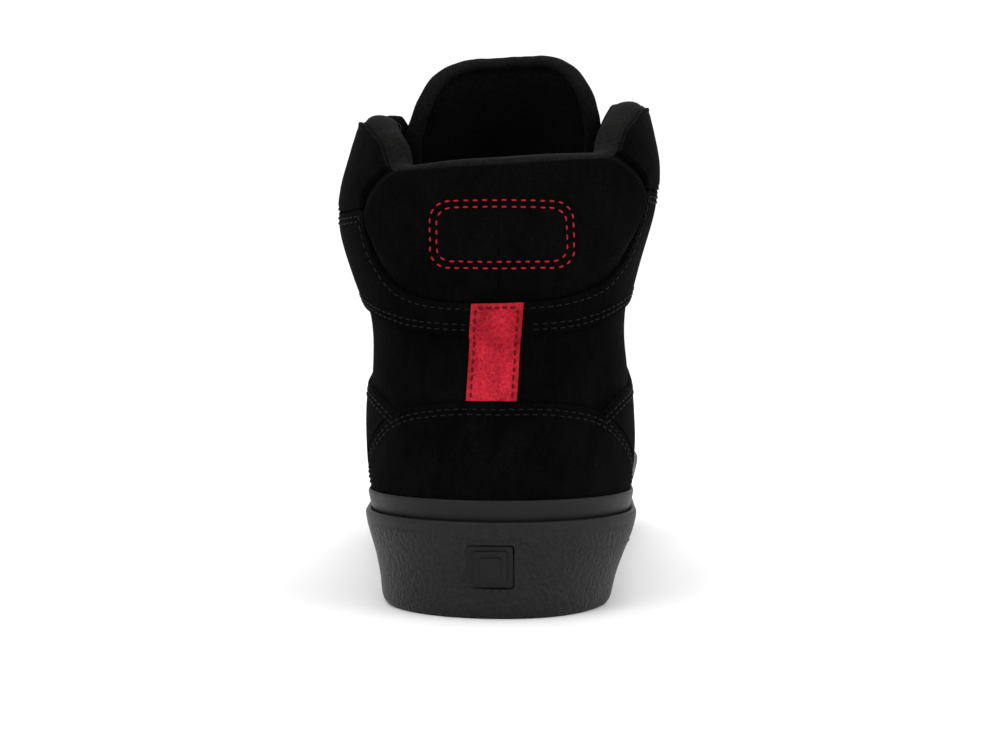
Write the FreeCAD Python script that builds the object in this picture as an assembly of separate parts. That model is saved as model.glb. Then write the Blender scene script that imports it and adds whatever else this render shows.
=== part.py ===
"""High-top basketball shoe, left foot, built as separate sole, upper, collar, tongue and eyelet parts.

The row frame has +Y towards the toe, +X towards the inner (medial) side and +Z up.  Its origin lies on
the ground, under the middle of the sole.  Shapes are worked out in a last frame, whose y runs forward
from the back of the heel and whose z is taken before the toe spring, and are moved to the row frame.
"""
import FreeCAD
import Part
import math
import os

V = FreeCAD.Vector

# ---------------------------------------------------------------- driving dimensions, millimetres
SOLE_LENGTH = 298.0
TOE_SPRING = 8.0            # lift of the sole at the toe tip
SPRING_START = 188.0        # the sole is flat behind this
MID_Y = SOLE_LENGTH / 2     # the row frame's origin, in the last frame
MID_X = -2.7                # centre of the overall width, in the last frame

SUEDE = 1.2                 # thickness of an overlay
BASE = 1.4                  # thickness of the vamp and quarters
LINING = 1.0
AIR = 0.1                   # clearance between bonded layers
COUNTER = 1.6
COLLAR_FOAM = 8.0

FLOOR = 6.0                 # outsole rubber under the foot
BOARD_Z = 18.3              # underside of the lasting board at the heel
BOARD = 1.5
BAND_LOW, BAND_HIGH = 19.0, 35.0
LIP_Z = 28.6                # top of the cup's lip at the heel
LIP_OUT = 4.6               # cup lip, outwards from the feather line
BAND_IN, BAND_OUT = 1.45, 2.55   # the band, from the form; it stands 9 mm deep in the cup

EYELET_ROWS = 8
EYELET_HOLE = 2.1
EYELET_BARREL = 2.6
EYELET_FLANGE = 4.0
TONGUE_OUT = -3.5           # tongue's front face, from the form
TONGUE_FOAM = 3.9
TONGUE_LOW, FOLD_LEVEL, TONGUE_HIGH = 4.62, 8.05, 8.97    # levels of the form
FOLD_GAP = 0.03             # in levels, about half a millimetre

# The last, as level loops from the sole up.  Each row holds the back point (y, z), the front point
# (y, z), how far the back and front roundings reach, and the half width at five stations.
LEVELS = [
    (7.5, 20, 290, 20, 36, 70, (34.5, 34.5, 39.5, 45.5, 42.0)),
    (3.8, 34, 294, 33, 38, 74, (38.5, 38.5, 43.5, 49.5, 46.0)),
    (3.0, 48, 291, 46, 40, 76, (40.5, 40.0, 43.5, 48.5, 44.0)),
    (4.0, 62, 272, 57, 40, 80, (40.5, 39.5, 42.0, 45.0, 38.0)),
    (6.5, 76, 228, 67, 40, 80, (40.5, 39.5, 39.5, 38.0, 34.0)),
    (8.0, 90, 184, 82, 41, 75, (43.0, 41.5, 38.0, 33.0, 28.0)),
    (6.5, 106, 152, 106, 43, 65, (49.0, 47.0, 42.0, 35.0, 28.0)),
    (5.0, 122, 129, 130, 44, 56, (52.0, 52.3, 48.0, 41.5, 34.0)),
    (6.0, 138, 114, 152, 44, 50, (44.0, 46.2, 45.8, 43.0, 38.0)),
    (8.0, 156, 105, 172, 43, 46, (40.0, 41.5, 43.0, 43.0, 39.0)),
    (10.0, 172, 101, 190, 42, 45, (38.5, 40.0, 42.0, 42.0, 38.0)),
]
BANANA = (0.0, 0.0, -1.6, -3.6, -3.4, -0.6, 2.6)     # sideways bend of the last, every 50 mm
ROLL = (0.0, 0.0, 0.0, 0.0, 0.0, 0.02, 0.06, 0.075, 0.05, 0.04, 0.04)   # medial side higher
SLIM_MEDIAL = (0.03, 0.032, 0.036, 0.045, 0.065, 0.135, 0.10, 0.062, 0.062, 0.062, 0.062)   # share off the width
SLIM_LATERAL = (0.0, 0.0, 0.0, 0.0, 0.01, 0.045, 0.0, 0.0, 0.065, 0.06, 0.06)
SPREAD = 0.145
TOP_LEVEL = len(LEVELS) - 1


# ---------------------------------------------------------------- curves and the form
def bspline(values, x):
    """Uniform cubic B-spline over a list of numbers, with straight run-outs at both ends."""
    n = len(values)
    i = min(max(int(math.floor(x)), 0), n - 2)
    f = x - i
    before = values[i - 1] if i > 0 else 2 * values[0] - values[1]
    after = values[i + 2] if i + 2 < n else 2 * values[-1] - values[-2]
    return ((1 - f) ** 3 * before + (3 * f ** 3 - 6 * f ** 2 + 4) * values[i]
            + (-3 * f ** 3 + 3 * f ** 2 + 3 * f + 1) * values[i + 1] + f ** 3 * after) / 6


COLUMNS = [[row[k] for row in LEVELS] for k in range(6)]
WIDTHS = [[row[6][k] for row in LEVELS] for k in range(5)]


def smooth(x):
    x = min(max(x, 0.0), 1.0)
    return x * x * (3 - 2 * x)


def spring(y):
    return TOE_SPRING * max(0.0, (y - SPRING_START) / (SOLE_LENGTH - SPRING_START)) ** 2


def rounding(distance, reach):
    return math.sqrt(max(0.0, 1 - (1 - distance / reach) ** 2)) if distance < reach else 1.0


def spread(theta, t):
    """How far the back panel's seams reach further round on the medial side, in radians."""
    level = smooth((t - 4.4) / 1.6) * (1 - 0.6 * smooth((t - 6.8) / 0.7))
    return SPREAD * level * smooth(theta / 0.7) * (1 - smooth((theta - 0.8) / 0.6))


def form(theta, t, plain=False):
    """Outer face of the vamp and quarters.  theta is 0 at the heel and +-pi at the toe, + is medial.
    The plain form leaves out the roll and what the two sides don't share."""
    if not plain and math.sin(theta) > 0:
        theta += spread(theta, t)
    yb, zb, yf, zf, rb, rf = (bspline(c, t) for c in COLUMNS)
    q = (1 - math.cos(theta)) / 2
    y = yb + q * (yf - yb)
    half = bspline([bspline(w, t) for w in WIDTHS], 4 * q)
    half *= rounding(y - yb, rb) * rounding(yf - y, rf)
    bend = bspline(BANANA, y / 50) * max(0.0, 1 - t / 7)
    across = math.sin(theta)
    if not plain:
        half *= 1 - bspline(SLIM_LATERAL if across < 0 else SLIM_MEDIAL, t) * smooth(abs(across) / 0.5)
    x = math.copysign(half, across) + bend
    roll = 0.0 if plain else bspline(ROLL, t) * x
    return V(x, y, zb + q * (zf - zb) + spring(y) + roll)


def normal(theta, t):
    e = 0.004
    along = form(theta + e, t) - form(theta - e, t)
    up = form(theta, t + e) - form(theta, t - e)
    return along.cross(up).normalize()


def skin(theta, t, offset=0.0):
    """A point at some distance outside the form, in the row frame."""
    return form(theta, t) + normal(theta, t) * offset - V(MID_X, MID_Y, 0)


def solve(error, theta, t):
    """(theta, t) where error is zero, by Newton's method."""
    for _ in range(40):
        a, b = error(theta, t)
        if abs(a) + abs(b) < 1e-6:
            break
        e = 1e-5
        a1, b1 = error(theta + e, t)
        a2, b2 = error(theta, t + e)
        j11, j21, j12, j22 = (a1 - a) / e, (b1 - b) / e, (a2 - a) / e, (b2 - b) / e
        det = j11 * j22 - j12 * j21
        dtheta, dt = (-a * j22 + b * j12) / det, (a * j21 - b * j11) / det
        scale = min(1.0, 0.35 / max(abs(dtheta), 1e-9), 1.0 / max(abs(dt), 1e-9))
        theta = min(max(theta + dtheta * scale, 1e-4), math.pi - 1e-4)
        t = min(max(t + dt * scale, -0.9), TOP_LEVEL)
    return theta, t


def by_side(y, z):
    """(theta, t) of a side-view point; z leaves out the roll."""
    def error(theta, t):
        p = form(theta, t, True)
        return p.y - y, p.z - z
    return solve(error, 1.6, 3.0 if z < 80 else 6.0)


def by_x(x, z, front=False):
    """(theta, t) of a point x from the middle, seen from the back or the front."""
    if x == 0:
        x = 1e-3

    def error(theta, t):
        p = form(theta, t, True)
        return p.x - x, p.z - z
    return solve(error, 2.6 if front else 0.5, max(0.5, (z - 20) / 15))


def through(points):
    """A smooth curve u -> (theta, t) through points of the (theta, t) plane, by chord length."""
    rows = [(p[0], p[1]) for p in points]
    chord = [0.0]
    for a, b in zip(rows, rows[1:]):
        chord.append(chord[-1] + math.hypot((b[0] - a[0]) * 3, b[1] - a[1]))
    knots = [c / chord[-1] for c in chord]
    if len(rows) == 2:
        (a0, a1), (b0, b1) = rows
        return lambda u: (a0 + (b0 - a0) * u, a1 + (b1 - a1) * u)
    curve = Part.BSplineCurve()
    curve.interpolate(Points=[V(r[0], r[1], 0) for r in rows], Parameters=knots)

    def at(u):
        p = curve.value(min(max(u, 0.0), 1.0))
        return p.x, p.y
    return at


def part_of(curve, a, b):
    return lambda u: curve(a + (b - a) * u)


def mirrored(curve):
    return lambda u: (-curve(u)[0], curve(u)[1])


def both_sides(curve):
    """A curve that starts at the middle, run from its lateral end to its medial end."""
    def at(u):
        theta, t = curve(abs(2 * u - 1))
        return (theta if u >= 0.5 else -theta), t
    return at


def around_toe(curve):
    """A curve that ends at the toe's middle, run from lateral, round the toe, to medial."""
    def at(u):
        theta, t = curve(1 - abs(2 * u - 1))
        return (-theta if u < 0.5 else theta - 2 * math.pi), t
    return at


def coons(low, high, left, right):
    """(u, v) -> (theta, t) inside four boundary curves."""
    c00, c10, c01, c11 = low(0), low(1), high(0), high(1)

    def at(u, v):
        a, b, c, d = low(u), high(u), left(v), right(v)
        return tuple((1 - v) * a[k] + v * b[k] + (1 - u) * c[k] + u * d[k]
                     - (1 - u) * (1 - v) * c00[k] - u * (1 - v) * c10[k]
                     - (1 - u) * v * c01[k] - u * v * c11[k] for k in (0, 1))
    return at


def between(low, high):
    """(u, v) -> (theta, t), straight from one curve to the other."""
    def at(u, v):
        a, b = low(u), high(u)
        return a[0] + (b[0] - a[0]) * v, a[1] + (b[1] - a[1]) * v
    return at


# ---------------------------------------------------------------- solids
def grid_solid(outer, inner, us, vs):
    """A closed solid between two faces, each given as a function of (u, v)."""
    faces = []
    for surface in (outer, inner):
        spline = Part.BSplineSurface()
        spline.interpolate([[surface(u, v) for v in vs] for u in us])
        faces.append(spline)
    a, b = faces
    u0, u1, v0, v1 = a.bounds()
    w0, w1, x0, x1 = b.bounds()
    sides = [(a.uIso(u0), b.uIso(w0)), (a.uIso(u1), b.uIso(w1)),
             (a.vIso(v0), b.vIso(x0)), (a.vIso(v1), b.vIso(x1))]
    shapes = [a.toShape(), b.toShape()]
    shapes += [Part.makeRuledSurface(m.toShape(), n.toShape(), 1) for m, n in sides]
    shell = Part.makeShell([f for s in shapes for f in s.Faces])
    shell.sewShape(1e-3)
    solid = Part.makeSolid(shell.Shells[0] if shell.ShapeType != "Shell" else shell)
    if solid.Volume < 0:
        solid.reverse()
    return solid


def steps(n, dense_end=False):
    if dense_end:
        return [math.sin(math.pi / 2 * i / n) for i in range(n + 1)]
    return [i / n for i in range(n + 1)]


def panel(region, inner, outer, nu=24, nv=8, dense_end=False):
    """A layer over a region of the form.  inner and outer are offsets, or functions of (theta, t)."""
    def surface(offset):
        def at(u, v):
            theta, t = region(u, v)
            value = offset(theta, t) if callable(offset) else offset
            return skin(theta, t, value)
        return at
    return grid_solid(surface(outer), surface(inner), steps(nu), steps(nv, dense_end))


PARTS = {}


def keep(name, *solids):
    PARTS[name] = list(solids)


# ---------------------------------------------------------------- seam lines of the upper
FEATHER = -0.1


def feather(y_from, y_to):
    a, b = by_side(y_from, 22)[0], by_side(y_to, 22)[0]
    return through([(a, FEATHER), ((a + b) / 2, FEATHER), (b, FEATHER)])


TOPLINE = through([(0.0, 7.5), (0.3, 7.5), (0.52, 7.47), (0.64, 7.5), (0.72, 7.68), (0.8, 7.88), (0.93, 8.04),
               (1.15, 8.2), by_side(58, 148), by_side(72, 150.5), by_side(80, 151.8), by_side(86, 152)])
EDGE = through([by_side(86, 152), by_x(34.5, 147, True), by_x(31.5, 139, True), by_x(27, 128, True),
                by_x(21.5, 115, True), by_x(16, 101, True), by_x(11, 88.5, True), by_x(9.5, 84, True)])
SEAM = through([by_side(165, 19), by_side(171, 38), by_side(177, 55), by_side(181, 67),
                by_side(183, 76), by_x(9.5, 83.4, True)])
FRONT_EDGE = through([SEAM(k / 10) for k in range(10)] + [EDGE(1 - k / 12) for k in range(13)])
EYESTAY_OUT = through([by_side(178, 71), by_side(160, 73), by_side(141, 83), by_side(122, 98),
                       by_side(104, 114), by_side(89, 128), by_side(78, 140), by_side(70, 150)])
U_LINE = through([(0.0, 5.03), (0.19, 5.05), (0.385, 5.18), (0.50, 5.36), (0.61, 5.75), (0.695, 6.3),
        (0.745, 6.8)])
U_SIDE = through([(0.745, 6.8), (0.748, 7.12), (0.71, 7.33), (0.64, 7.5)])
STRAP_HIGH = through([(0.765, 6.86), by_side(31, 120.5), by_side(40.5, 121), by_side(52, 123), by_side(66, 127.5),
        by_side(79, 133.5)])
STRAP_LOW = through([(0.0, 4.37), (0.22, 4.42), (0.43, 4.54), (0.58, 4.71), (0.72, 4.9), by_side(45, 92),
        by_side(68, 99.5), by_side(88, 108), by_side(102, 115)])
ARCH = through([(0.0, 3.02), (0.17, 3.02), (0.29, 2.96), (0.375, 2.885), (0.46, 2.73), (0.53, 2.52), (0.59, 2.26),
        (0.645, 2.0), by_side(42, 40), by_side(50, 33)])
SADDLE = through([(0.45, 2.78), (0.53, 3.04), (0.64, 3.2), by_side(50, 68), by_side(85, 72), by_side(120, 75),
        by_side(152, 74)])
MUDGUARD = through([by_side(152, 74), by_side(175, 70), by_side(200, 64), (2.42, 3.22),
                    (2.62, 3.1), (2.85, 3.05), (math.pi, 3.03)])
REAR_TOE = through([by_side(152, 19), by_side(152, 74)])


def shy(curve, dtheta=0.0, dt=0.0):
    """A seam line moved a little, to leave a clearance."""
    return lambda u: (curve(u)[0] + dtheta, curve(u)[1] + dt)


def foam_depth(theta, t):
    """Thickness of the collar padding inside the quarters."""
    rise = smooth((t - 4.2) / 2.2)
    reach = 1 - smooth((abs(theta) - 1.3) / 0.42)
    return COLLAR_FOAM * rise * reach


def lining_face(theta, t):
    """Offset of the lining's outer face; it makes room for the counter, padding and stiffener."""
    heel = (COUNTER + AIR) * (1 - smooth((abs(theta) - 0.95) / 0.3)) * (1 - smooth((t - 4.1) / 0.5))
    return -(BASE + AIR + heel + foam_depth(theta, t))


def top_level(theta):
    """Level of the topline above a place on the form."""
    lo, hi = 0.0, 1.0
    for _ in range(30):
        mid = (lo + hi) / 2
        lo, hi = (mid, hi) if TOPLINE(mid)[0] < abs(theta) else (lo, mid)
    return TOPLINE(lo)[1]


# ---------------------------------------------------------------- more region helpers
def signed(region, sign):
    if sign > 0:
        return region

    def at(u, v):
        theta, t = region(1 - u, v)
        return -theta, t
    return at


def whole(region):
    """A half region, from the back forwards, joined to its mirror image."""
    def at(u, v):
        theta, t = region(abs(2 * u - 1), v)
        return (theta if u >= 0.5 else -theta), t
    return at


def line(*points):
    return through(list(points))


def turned(curve):
    return lambda u: curve(1 - u)


def joined(first, second, at=0.5, n=12):
    points = [first(k / n) for k in range(n)] + [second(k / n) for k in range(n + 1)]
    return through(points)


# ---------------------------------------------------------------- upper
OUT = 0.1                   # inner face of an overlay, from the form
TOE_OUT = 0.3               # the same for the mudguard, which is bent hardest
BACK = 0.005                # half the back seam's clearance, radians


def quarter_region():
    low = line((BACK, FEATHER), (0.9, FEATHER), SEAM(0))
    return coons(low, TOPLINE, line((BACK, FEATHER), (BACK, 4), (BACK, TOPLINE(0)[1])), FRONT_EDGE)


def toe_region(side, throat_drop):
    """The vamp: round the toe from the lateral seam to the medial one."""
    start = side(0)
    low = around_toe(line(start, ((start[0] + math.pi) / 2, FEATHER), (math.pi, FEATHER)))
    end = side(1)
    high = around_toe(line(end, (3.0, end[1] - throat_drop * 0.8), (math.pi, end[1] - throat_drop)))

    def left(v):
        return -side(v)[0], side(v)[1]

    def right(v):
        return side(v)[0] - 2 * math.pi, side(v)[1]
    return coons(low, high, left, right)


def base_layers():
    quarter = quarter_region()
    for side, sign in (("medial", 1), ("lateral", -1)):
        keep("quarter_" + side, panel(signed(quarter, sign), -BASE, 0.0, 30, 34))
    keep("vamp", panel(toe_region(shy(SEAM, 0.016), 0.2), -BASE, 0.0, 60, 22))

    def toe_room(theta, t):
        near = smooth((abs(theta) - 2.45) / 0.2) * (1 - smooth((t - 2.7) / 0.4))
        return -BASE - 2 * AIR - 1.3 * near
    inside = toe_region(shy(SEAM, 0.03), 0.2)
    keep("vamp_lining", panel(inside, lambda a, b: toe_room(a, b) - LINING, toe_room, 60, 22))
    puff = around_toe(line((2.72, FEATHER), (math.pi, FEATHER)))
    puff_top = around_toe(line((2.72, 2.4), (math.pi, 2.55)))
    keep("toe_puff", panel(between(puff, puff_top), -BASE - 1.3, -BASE - 2 * AIR, 36, 12))

    def lining(theta, t):
        return lining_face(theta, t)
    keep("quarter_lining", panel(whole(quarter), lambda a, b: lining(a, b) - LINING, lining, 60, 30))
    counter = between(both_sides(line((0, FEATHER), (0.92, FEATHER))),
                      both_sides(line((0, 3.95), (0.92, 3.3))))
    keep("heel_counter_stiffener", panel(counter, -BASE - COUNTER, -BASE - 3 * AIR, 40, 16))
    low, high = 4.7, TOPLINE
    foam = between(both_sides(line((0, low), (1.52, low))), both_sides(shy(part_of(high, 0, curve_at(TOPLINE, 1.45)), 0, -0.12)))
    keep("collar_foam", panel(foam, lambda a, b: lining_face(a, b) + AIR, -BASE - AIR, 44, 16))


def overlays():
    arch_end = ARCH(1)
    foot = by_side(52, 19)
    low = both_sides(line((0, FEATHER), (foot[0] - 0.02, FEATHER)))
    high = both_sides(ARCH)
    heel_side = line((foot[0] - 0.02, FEATHER), arch_end)
    region = coons(low, high, mirrored(heel_side), heel_side)
    keep("heel_overlay", panel(region, OUT, OUT + SUEDE, 36, 12))

    saddle_back = joined(line((foot[0], FEATHER), arch_end), turned(part_of(ARCH, curve_at(ARCH, 0.44), 1.0)))
    saddle_back = shy(saddle_back, 0.006, 0.004)
    start = saddle_back(1)
    saddle_top = line(start, *[SADDLE(k / 8) for k in range(1, 9)])
    toe_line = shy(REAR_TOE, -0.006)
    saddle = coons(line(saddle_back(0), toe_line(0)), saddle_top, saddle_back, toe_line)

    high = joined(U_LINE, STRAP_HIGH)
    strap_end = line(STRAP_LOW(1), STRAP_HIGH(1))
    strap = coons(STRAP_LOW, high, line(STRAP_LOW(0), U_LINE(0)), strap_end)
    strap = shy_back(strap)

    wing_low = shy(STRAP_HIGH, 0.004, 0.03)
    wing_back = line(wing_low(0), *[(U_SIDE(k / 3)[0] + 0.03, U_SIDE(k / 3)[1] + 0.02) for k in (1, 2)],
                     level_on(TOPLINE, 0.672))
    wing_top = part_of(TOPLINE, curve_at(TOPLINE, 0.672), curve_at(TOPLINE, EYESTAY_OUT(1)[0]))
    wing = coons(wing_low, wing_top, wing_back, line(wing_low(1), wing_top(1)))

    eye_back = shy(EYESTAY_OUT, 0.008)
    eye_low = line(eye_back(0), SEAM(0.72), SEAM(0.88), shy(EDGE, -0.004)(1))
    eyestay = coons(eye_low, line(eye_back(1), EDGE(0)), eye_back, turned(EDGE))
    for side, sign in (("medial", 1), ("lateral", -1)):
        keep("saddle_" + side, panel(signed(saddle, sign), OUT, OUT + SUEDE, 24, 12))
        keep("ankle_strap_" + side, panel(signed(strap, sign), OUT, OUT + SUEDE, 48, 12))
        keep("collar_wing_" + side, panel(signed(wing, sign), OUT, OUT + SUEDE, 28, 14))
        keep("eyestay_" + side, panel(signed(eyestay, sign), OUT, OUT + SUEDE, 14, 24))

    guard = shy(MUDGUARD, 0.006, -0.06)
    guard_low = line((shy(REAR_TOE, 0.006)(0)[0], FEATHER), (2.3, FEATHER), (math.pi, FEATHER))
    mudguard = between(around_toe(guard_low), around_toe(guard))

    def guard_face(theta, t):
        """Thinned where it runs down behind the band."""
        return OUT + SUEDE + (TOE_OUT - OUT) * smooth((t - 1.35) / 0.5)
    keep("mudguard", panel(mudguard, TOE_OUT, guard_face, 72, 18))

    u_low = both_sides(shy(U_LINE, -0.014, 0.02))
    u_high = both_sides(part_of(TOPLINE, 0, curve_at(TOPLINE, 0.626)))
    u_side = line(u_low(1), *[(U_SIDE(k / 3)[0] - 0.014, U_SIDE(k / 3)[1]) for k in (1, 2)], u_high(1))
    back_pad = coons(u_low, u_high, mirrored(u_side), u_side)
    keep("collar_back_panel", panel(back_pad, OUT, OUT + 2.2, 40, 16))

    def strip(u, v):
        x = 7.4 * (2 * u - 1) - 1.55 + 1.1 * v
        theta, t = by_x(abs(x) + 1e-3, 62.8 + 28.0 * v)
        return math.copysign(theta, x), t
    on_strap = level_on(STRAP_LOW, 0.1)[1]

    def over(theta, t):
        return OUT + (SUEDE + AIR) * smooth((t - on_strap + 0.12) / 0.1)
    keep("heel_strip", panel(strip, over, lambda a, b: over(a, b) + 1.1, 8, 24))


def shy_back(region):
    def at(u, v):
        theta, t = region(u, v)
        return max(theta, BACK + 0.002), t
    return at


def curve_at(curve, theta):
    """Parameter at which a curve of rising theta reaches a value."""
    lo, hi = 0.0, 1.0
    for _ in range(30):
        mid = (lo + hi) / 2
        lo, hi = (mid, hi) if curve(mid)[0] < theta else (lo, mid)
    return lo


def level_on(curve, theta):
    return theta, curve(curve_at(curve, theta))[1]


# ---------------------------------------------------------------- sole
def ring(loop, n=72):
    curve = Part.BSplineCurve()
    curve.interpolate(Points=[loop(-math.pi + 2 * math.pi * k / n) for k in range(n)],
                      PeriodicFlag=True)
    return Part.Wire(curve.toShape())


def outline(offset, z, t=0.6):
    """A loop round the shoe at some height, spread outwards on the level."""
    def at(theta):
        p = form(theta, t)
        a, b = form(theta - 0.004, t), form(theta + 0.004, t)
        out = V(b.y - a.y, a.x - b.x, 0).normalize()
        q = p + out * offset
        return V(q.x - MID_X, q.y - MID_Y, z + spring(q.y))
    return at


def wall(offset, z):
    """A loop of the cup's wall; the medial side of the heel is tucked in towards the ground."""
    def at(theta):
        tuck = 2.6 * smooth((theta - 0.1) / 0.5) * (1 - smooth((theta - 1.7) / 0.7)) * (1 - smooth(z / 24))
        return outline(offset - tuck, z)(theta)
    return at


def level_loop(t, offset):
    return lambda theta: skin(theta, t, offset)


def body(loops, bottom=-14, top=64):
    """Solid through closed loops, run on flat above and below."""
    def flat(loop, z):
        return lambda theta: V(loop(theta).x, loop(theta).y, z)
    rows = [flat(loops[0], bottom)] + loops + [flat(loops[-1], top)]
    return Part.makeLoft([ring(r) for r in rows], True, True)


def slab(low, high):
    """Everything between two heights above the sole's curved underside."""
    ys = [-60, SPRING_START] + [SPRING_START + 8 * k for k in range(1, 21)]

    def profile(z):
        return [V(-120, y - MID_Y, z + spring(y)) for y in ys]
    a, b = profile(low), profile(high)
    curves = []
    for points in (a, b):
        curve = Part.BSplineCurve()
        curve.interpolate(Points=points[1:])
        curves.append(curve.toShape())
    edges = [Part.LineSegment(a[0], a[1]).toShape(), curves[0], Part.LineSegment(a[-1], b[-1]).toShape(),
             curves[1], Part.LineSegment(b[1], b[0]).toShape(), Part.LineSegment(b[0], a[0]).toShape()]
    face = Part.Face(Part.Wire(Part.__sortEdges__(edges)))
    return face.extrude(V(240, 0, 0))


CUP_PROFILE = [(-3.4, -1.2), (-1.6, 0.5), (-0.6, 1.6), (-0.1, 4.0), (0.3, 8.0), (0.9, 12.0),
               (2.0, 16.5), (3.2, 20.4), (4.2, 24.2), (4.7, 26.5), (4.7, 27.8), (3.7, 29.8)]
FORM_LEVELS = (-0.5, -0.1, 0.3, 0.7, 1.1, 1.5)


def fitted(offset):
    return body([level_loop(t, offset) for t in FORM_LEVELS])


def tread_cutter():
    """Cross grooves under heel and forefoot, and pivot rings under the ball of the foot."""
    bars = []
    for y in [16 + 9 * k for k in range(8)] + [150 + 9 * k for k in range(3)] + [246 + 9 * k for k in range(4)]:
        bars.append(Part.makeBox(120, 2.2, 40, V(-60, y - MID_Y, -20)))
    for radius in (6, 14, 22, 30):
        outer = Part.makeCylinder(radius + 1.1, 40, V(0, 208 - MID_Y, -20))
        bars.append(outer.cut(Part.makeCylinder(radius - 1.1, 40, V(0, 208 - MID_Y, -20))))
    inside = body([outline(-9, 0)]).common(slab(-6, 1.8))
    return Part.makeCompound(bars).common(inside)


def heel_tilt(shape):
    """Place a badge-sized shape, drawn on the floor plane, on the back wall of the cup."""
    back = outline(1.5, 0)(0.0).y
    shape.rotate(V(0, 0, 0), V(1, 0, 0), 90 + 13.0)
    shape.translate(V(0, back, 15.5))
    return shape


def sole():
    cup = body([wall(o, z) for o, z in CUP_PROFILE], -4, 44).common(slab(0, LIP_Z))
    cup = cup.cut(body([outline(-3.6, 10)]).common(slab(FLOOR, 90)))
    cup = cup.cut(fitted(2.7).common(slab(18.2, 90)))
    cup = cup.cut(tread_cutter())
    pocket = Part.makeBox(14.0, 13.4, 8.0, V(-7.0, -6.7, -0.6))
    cup = cup.cut(heel_tilt(rounded_edges(pocket, 1.0)))
    keep("outsole_cup", *solids_of(cup))
    plate = rounded_edges(Part.makeBox(13.0, 12.4, 0.6, V(-6.5, -6.2, -0.5)), 0.8)
    for size, top in ((9.6, 0.5), (6.0, 0.9)):
        step = Part.makeBox(size, size, top + 0.2, V(-size / 2, -size / 2, -0.1))
        plate = plate.fuse(rounded_edges(step, 0.8))
    keep("heel_badge", *solids_of(heel_tilt(plate.removeSplitter())))
    keep("midsole_foam", *solids_of(body([outline(-3.7, 10)]).common(slab(FLOOR + AIR, 18.1))))
    board = fitted(-4.6)
    keep("lasting_board", *solids_of(board.common(slab(18.2, 19.7))))
    keep("footbed", *solids_of(fitted(-4.9).common(slab(19.8, 24.0))))
    band = fitted(BAND_OUT).common(slab(BAND_LOW, BAND_HIGH)).cut(fitted(BAND_IN))
    keep("foxing_band", *solids_of(band))


def rounded_edges(box, radius):
    upright = [e for e in box.Edges if abs(e.tangentAt(0).z) > 0.9]
    return box.makeFillet(radius, upright)


def solids_of(shape):
    return [s for s in shape.Solids if s.Volume > 1]


# ---------------------------------------------------------------- tongue
def tongue_half(t):
    """theta of the tongue's side edge at a level."""
    half = 0.70 + 0.30 * smooth((t - 5.4) / 2.2) - 0.20 * smooth((t - 7.75) / 1.2)
    return math.pi - half


def tongue_region(t0, t1, trim=0.0):
    """Across the tongue, lateral to medial, between two levels; its top corners are round."""
    def at(u, v):
        t = t0 + (t1 - t0) * v
        half = math.pi - tongue_half(t) - trim
        s = 2 * u - 1
        if t1 > FOLD_LEVEL + 0.3:
            droop = 0.35 * max(0.0, (abs(s) - 0.3) / 0.7) ** 3
            t = t0 + (t1 - droop - t0) * v
        return math.pi + half * s, t
    return at


def tongue():
    layers = (("cover", 0.0, 1.2), ("foam", 1.3, TONGUE_FOAM), ("lining", 1.4 + TONGUE_FOAM, 1.0))
    for name, depth, thick in layers:
        for part, t0, t1 in (("", TONGUE_LOW, FOLD_LEVEL - FOLD_GAP),
                             ("_top", FOLD_LEVEL + FOLD_GAP, TONGUE_HIGH)):
            outer = TONGUE_OUT - depth
            solid = panel(tongue_region(t0, t1), outer - thick, outer, 24, 14 if not part else 8)
            keep("tongue_" + name + part, solid)
    radius = (2.4 + TONGUE_FOAM) / 2 + 0.1
    middle = TONGUE_OUT - radius + 0.1

    def rim(path, inward):
        """A half-round bead along an edge of the tongue."""
        def frame(u):
            theta, t = path(u)
            a, b = path(max(u - 0.01, 0)), path(min(u + 0.01, 1))
            p = skin(theta, t, middle)
            along = (skin(b[0], b[1], middle) - skin(a[0], a[1], middle)).normalize()
            n = normal(theta, t)
            return p, n, along.cross(n).normalize() * inward

        def outer(u, v):
            p, n, out = frame(u)
            return p + out * (0.45 + radius * 0.9 * math.sin(math.pi * v)) + n * radius * math.cos(math.pi * v)

        def inner(u, v):
            p, n, out = frame(u)
            return p + out * 0.1 + n * radius * (1 - 2 * v)
        return grid_solid(outer, inner, steps(26), steps(8))

    top = tongue_region(FOLD_LEVEL + FOLD_GAP, TONGUE_HIGH)
    n = 10
    path = [top(0, k / n) for k in range(n)] + [top(k / 24, 1) for k in range(25)]
    path += [top(1, 1 - k / n) for k in range(1, n + 1)]
    path = round_path(path)
    keep("tongue_binding_top", rim(through(path), -1))
    for name in ("cover", "foam", "lining"):
        node = "tongue_" + name + "_top"
        PARTS[node] = [s for p in PARTS[node] for s in solids_of(p.cut(PARTS["tongue_binding_top"][0]))]
    low = tongue_region(TONGUE_LOW, FOLD_LEVEL - FOLD_GAP)
    sides = [rim(lambda u: low(0, u), -1), rim(lambda u: low(1, u), 1)]
    keep("tongue_binding", *sides)

    def keeper(u, v):
        return math.pi + 0.16 * (2 * u - 1), 7.2 + 0.4 * v

    def bow(theta, t):
        return TONGUE_OUT + 0.1 + 1.4 * (1 - ((theta - math.pi) / 0.16) ** 2) ** 2
    keep("lace_keeper", panel(keeper, bow, lambda a, b: bow(a, b) + 0.9, 12, 3))


def round_path(points):
    """Soften the corners of a path of (theta, t)."""
    for _ in range(3):
        points = [points[0]] + [tuple((a[k] + 2 * b[k] + c[k]) / 4 for k in (0, 1))
                                for a, b, c in zip(points, points[1:], points[2:])] + [points[-1]]
    return points


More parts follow.
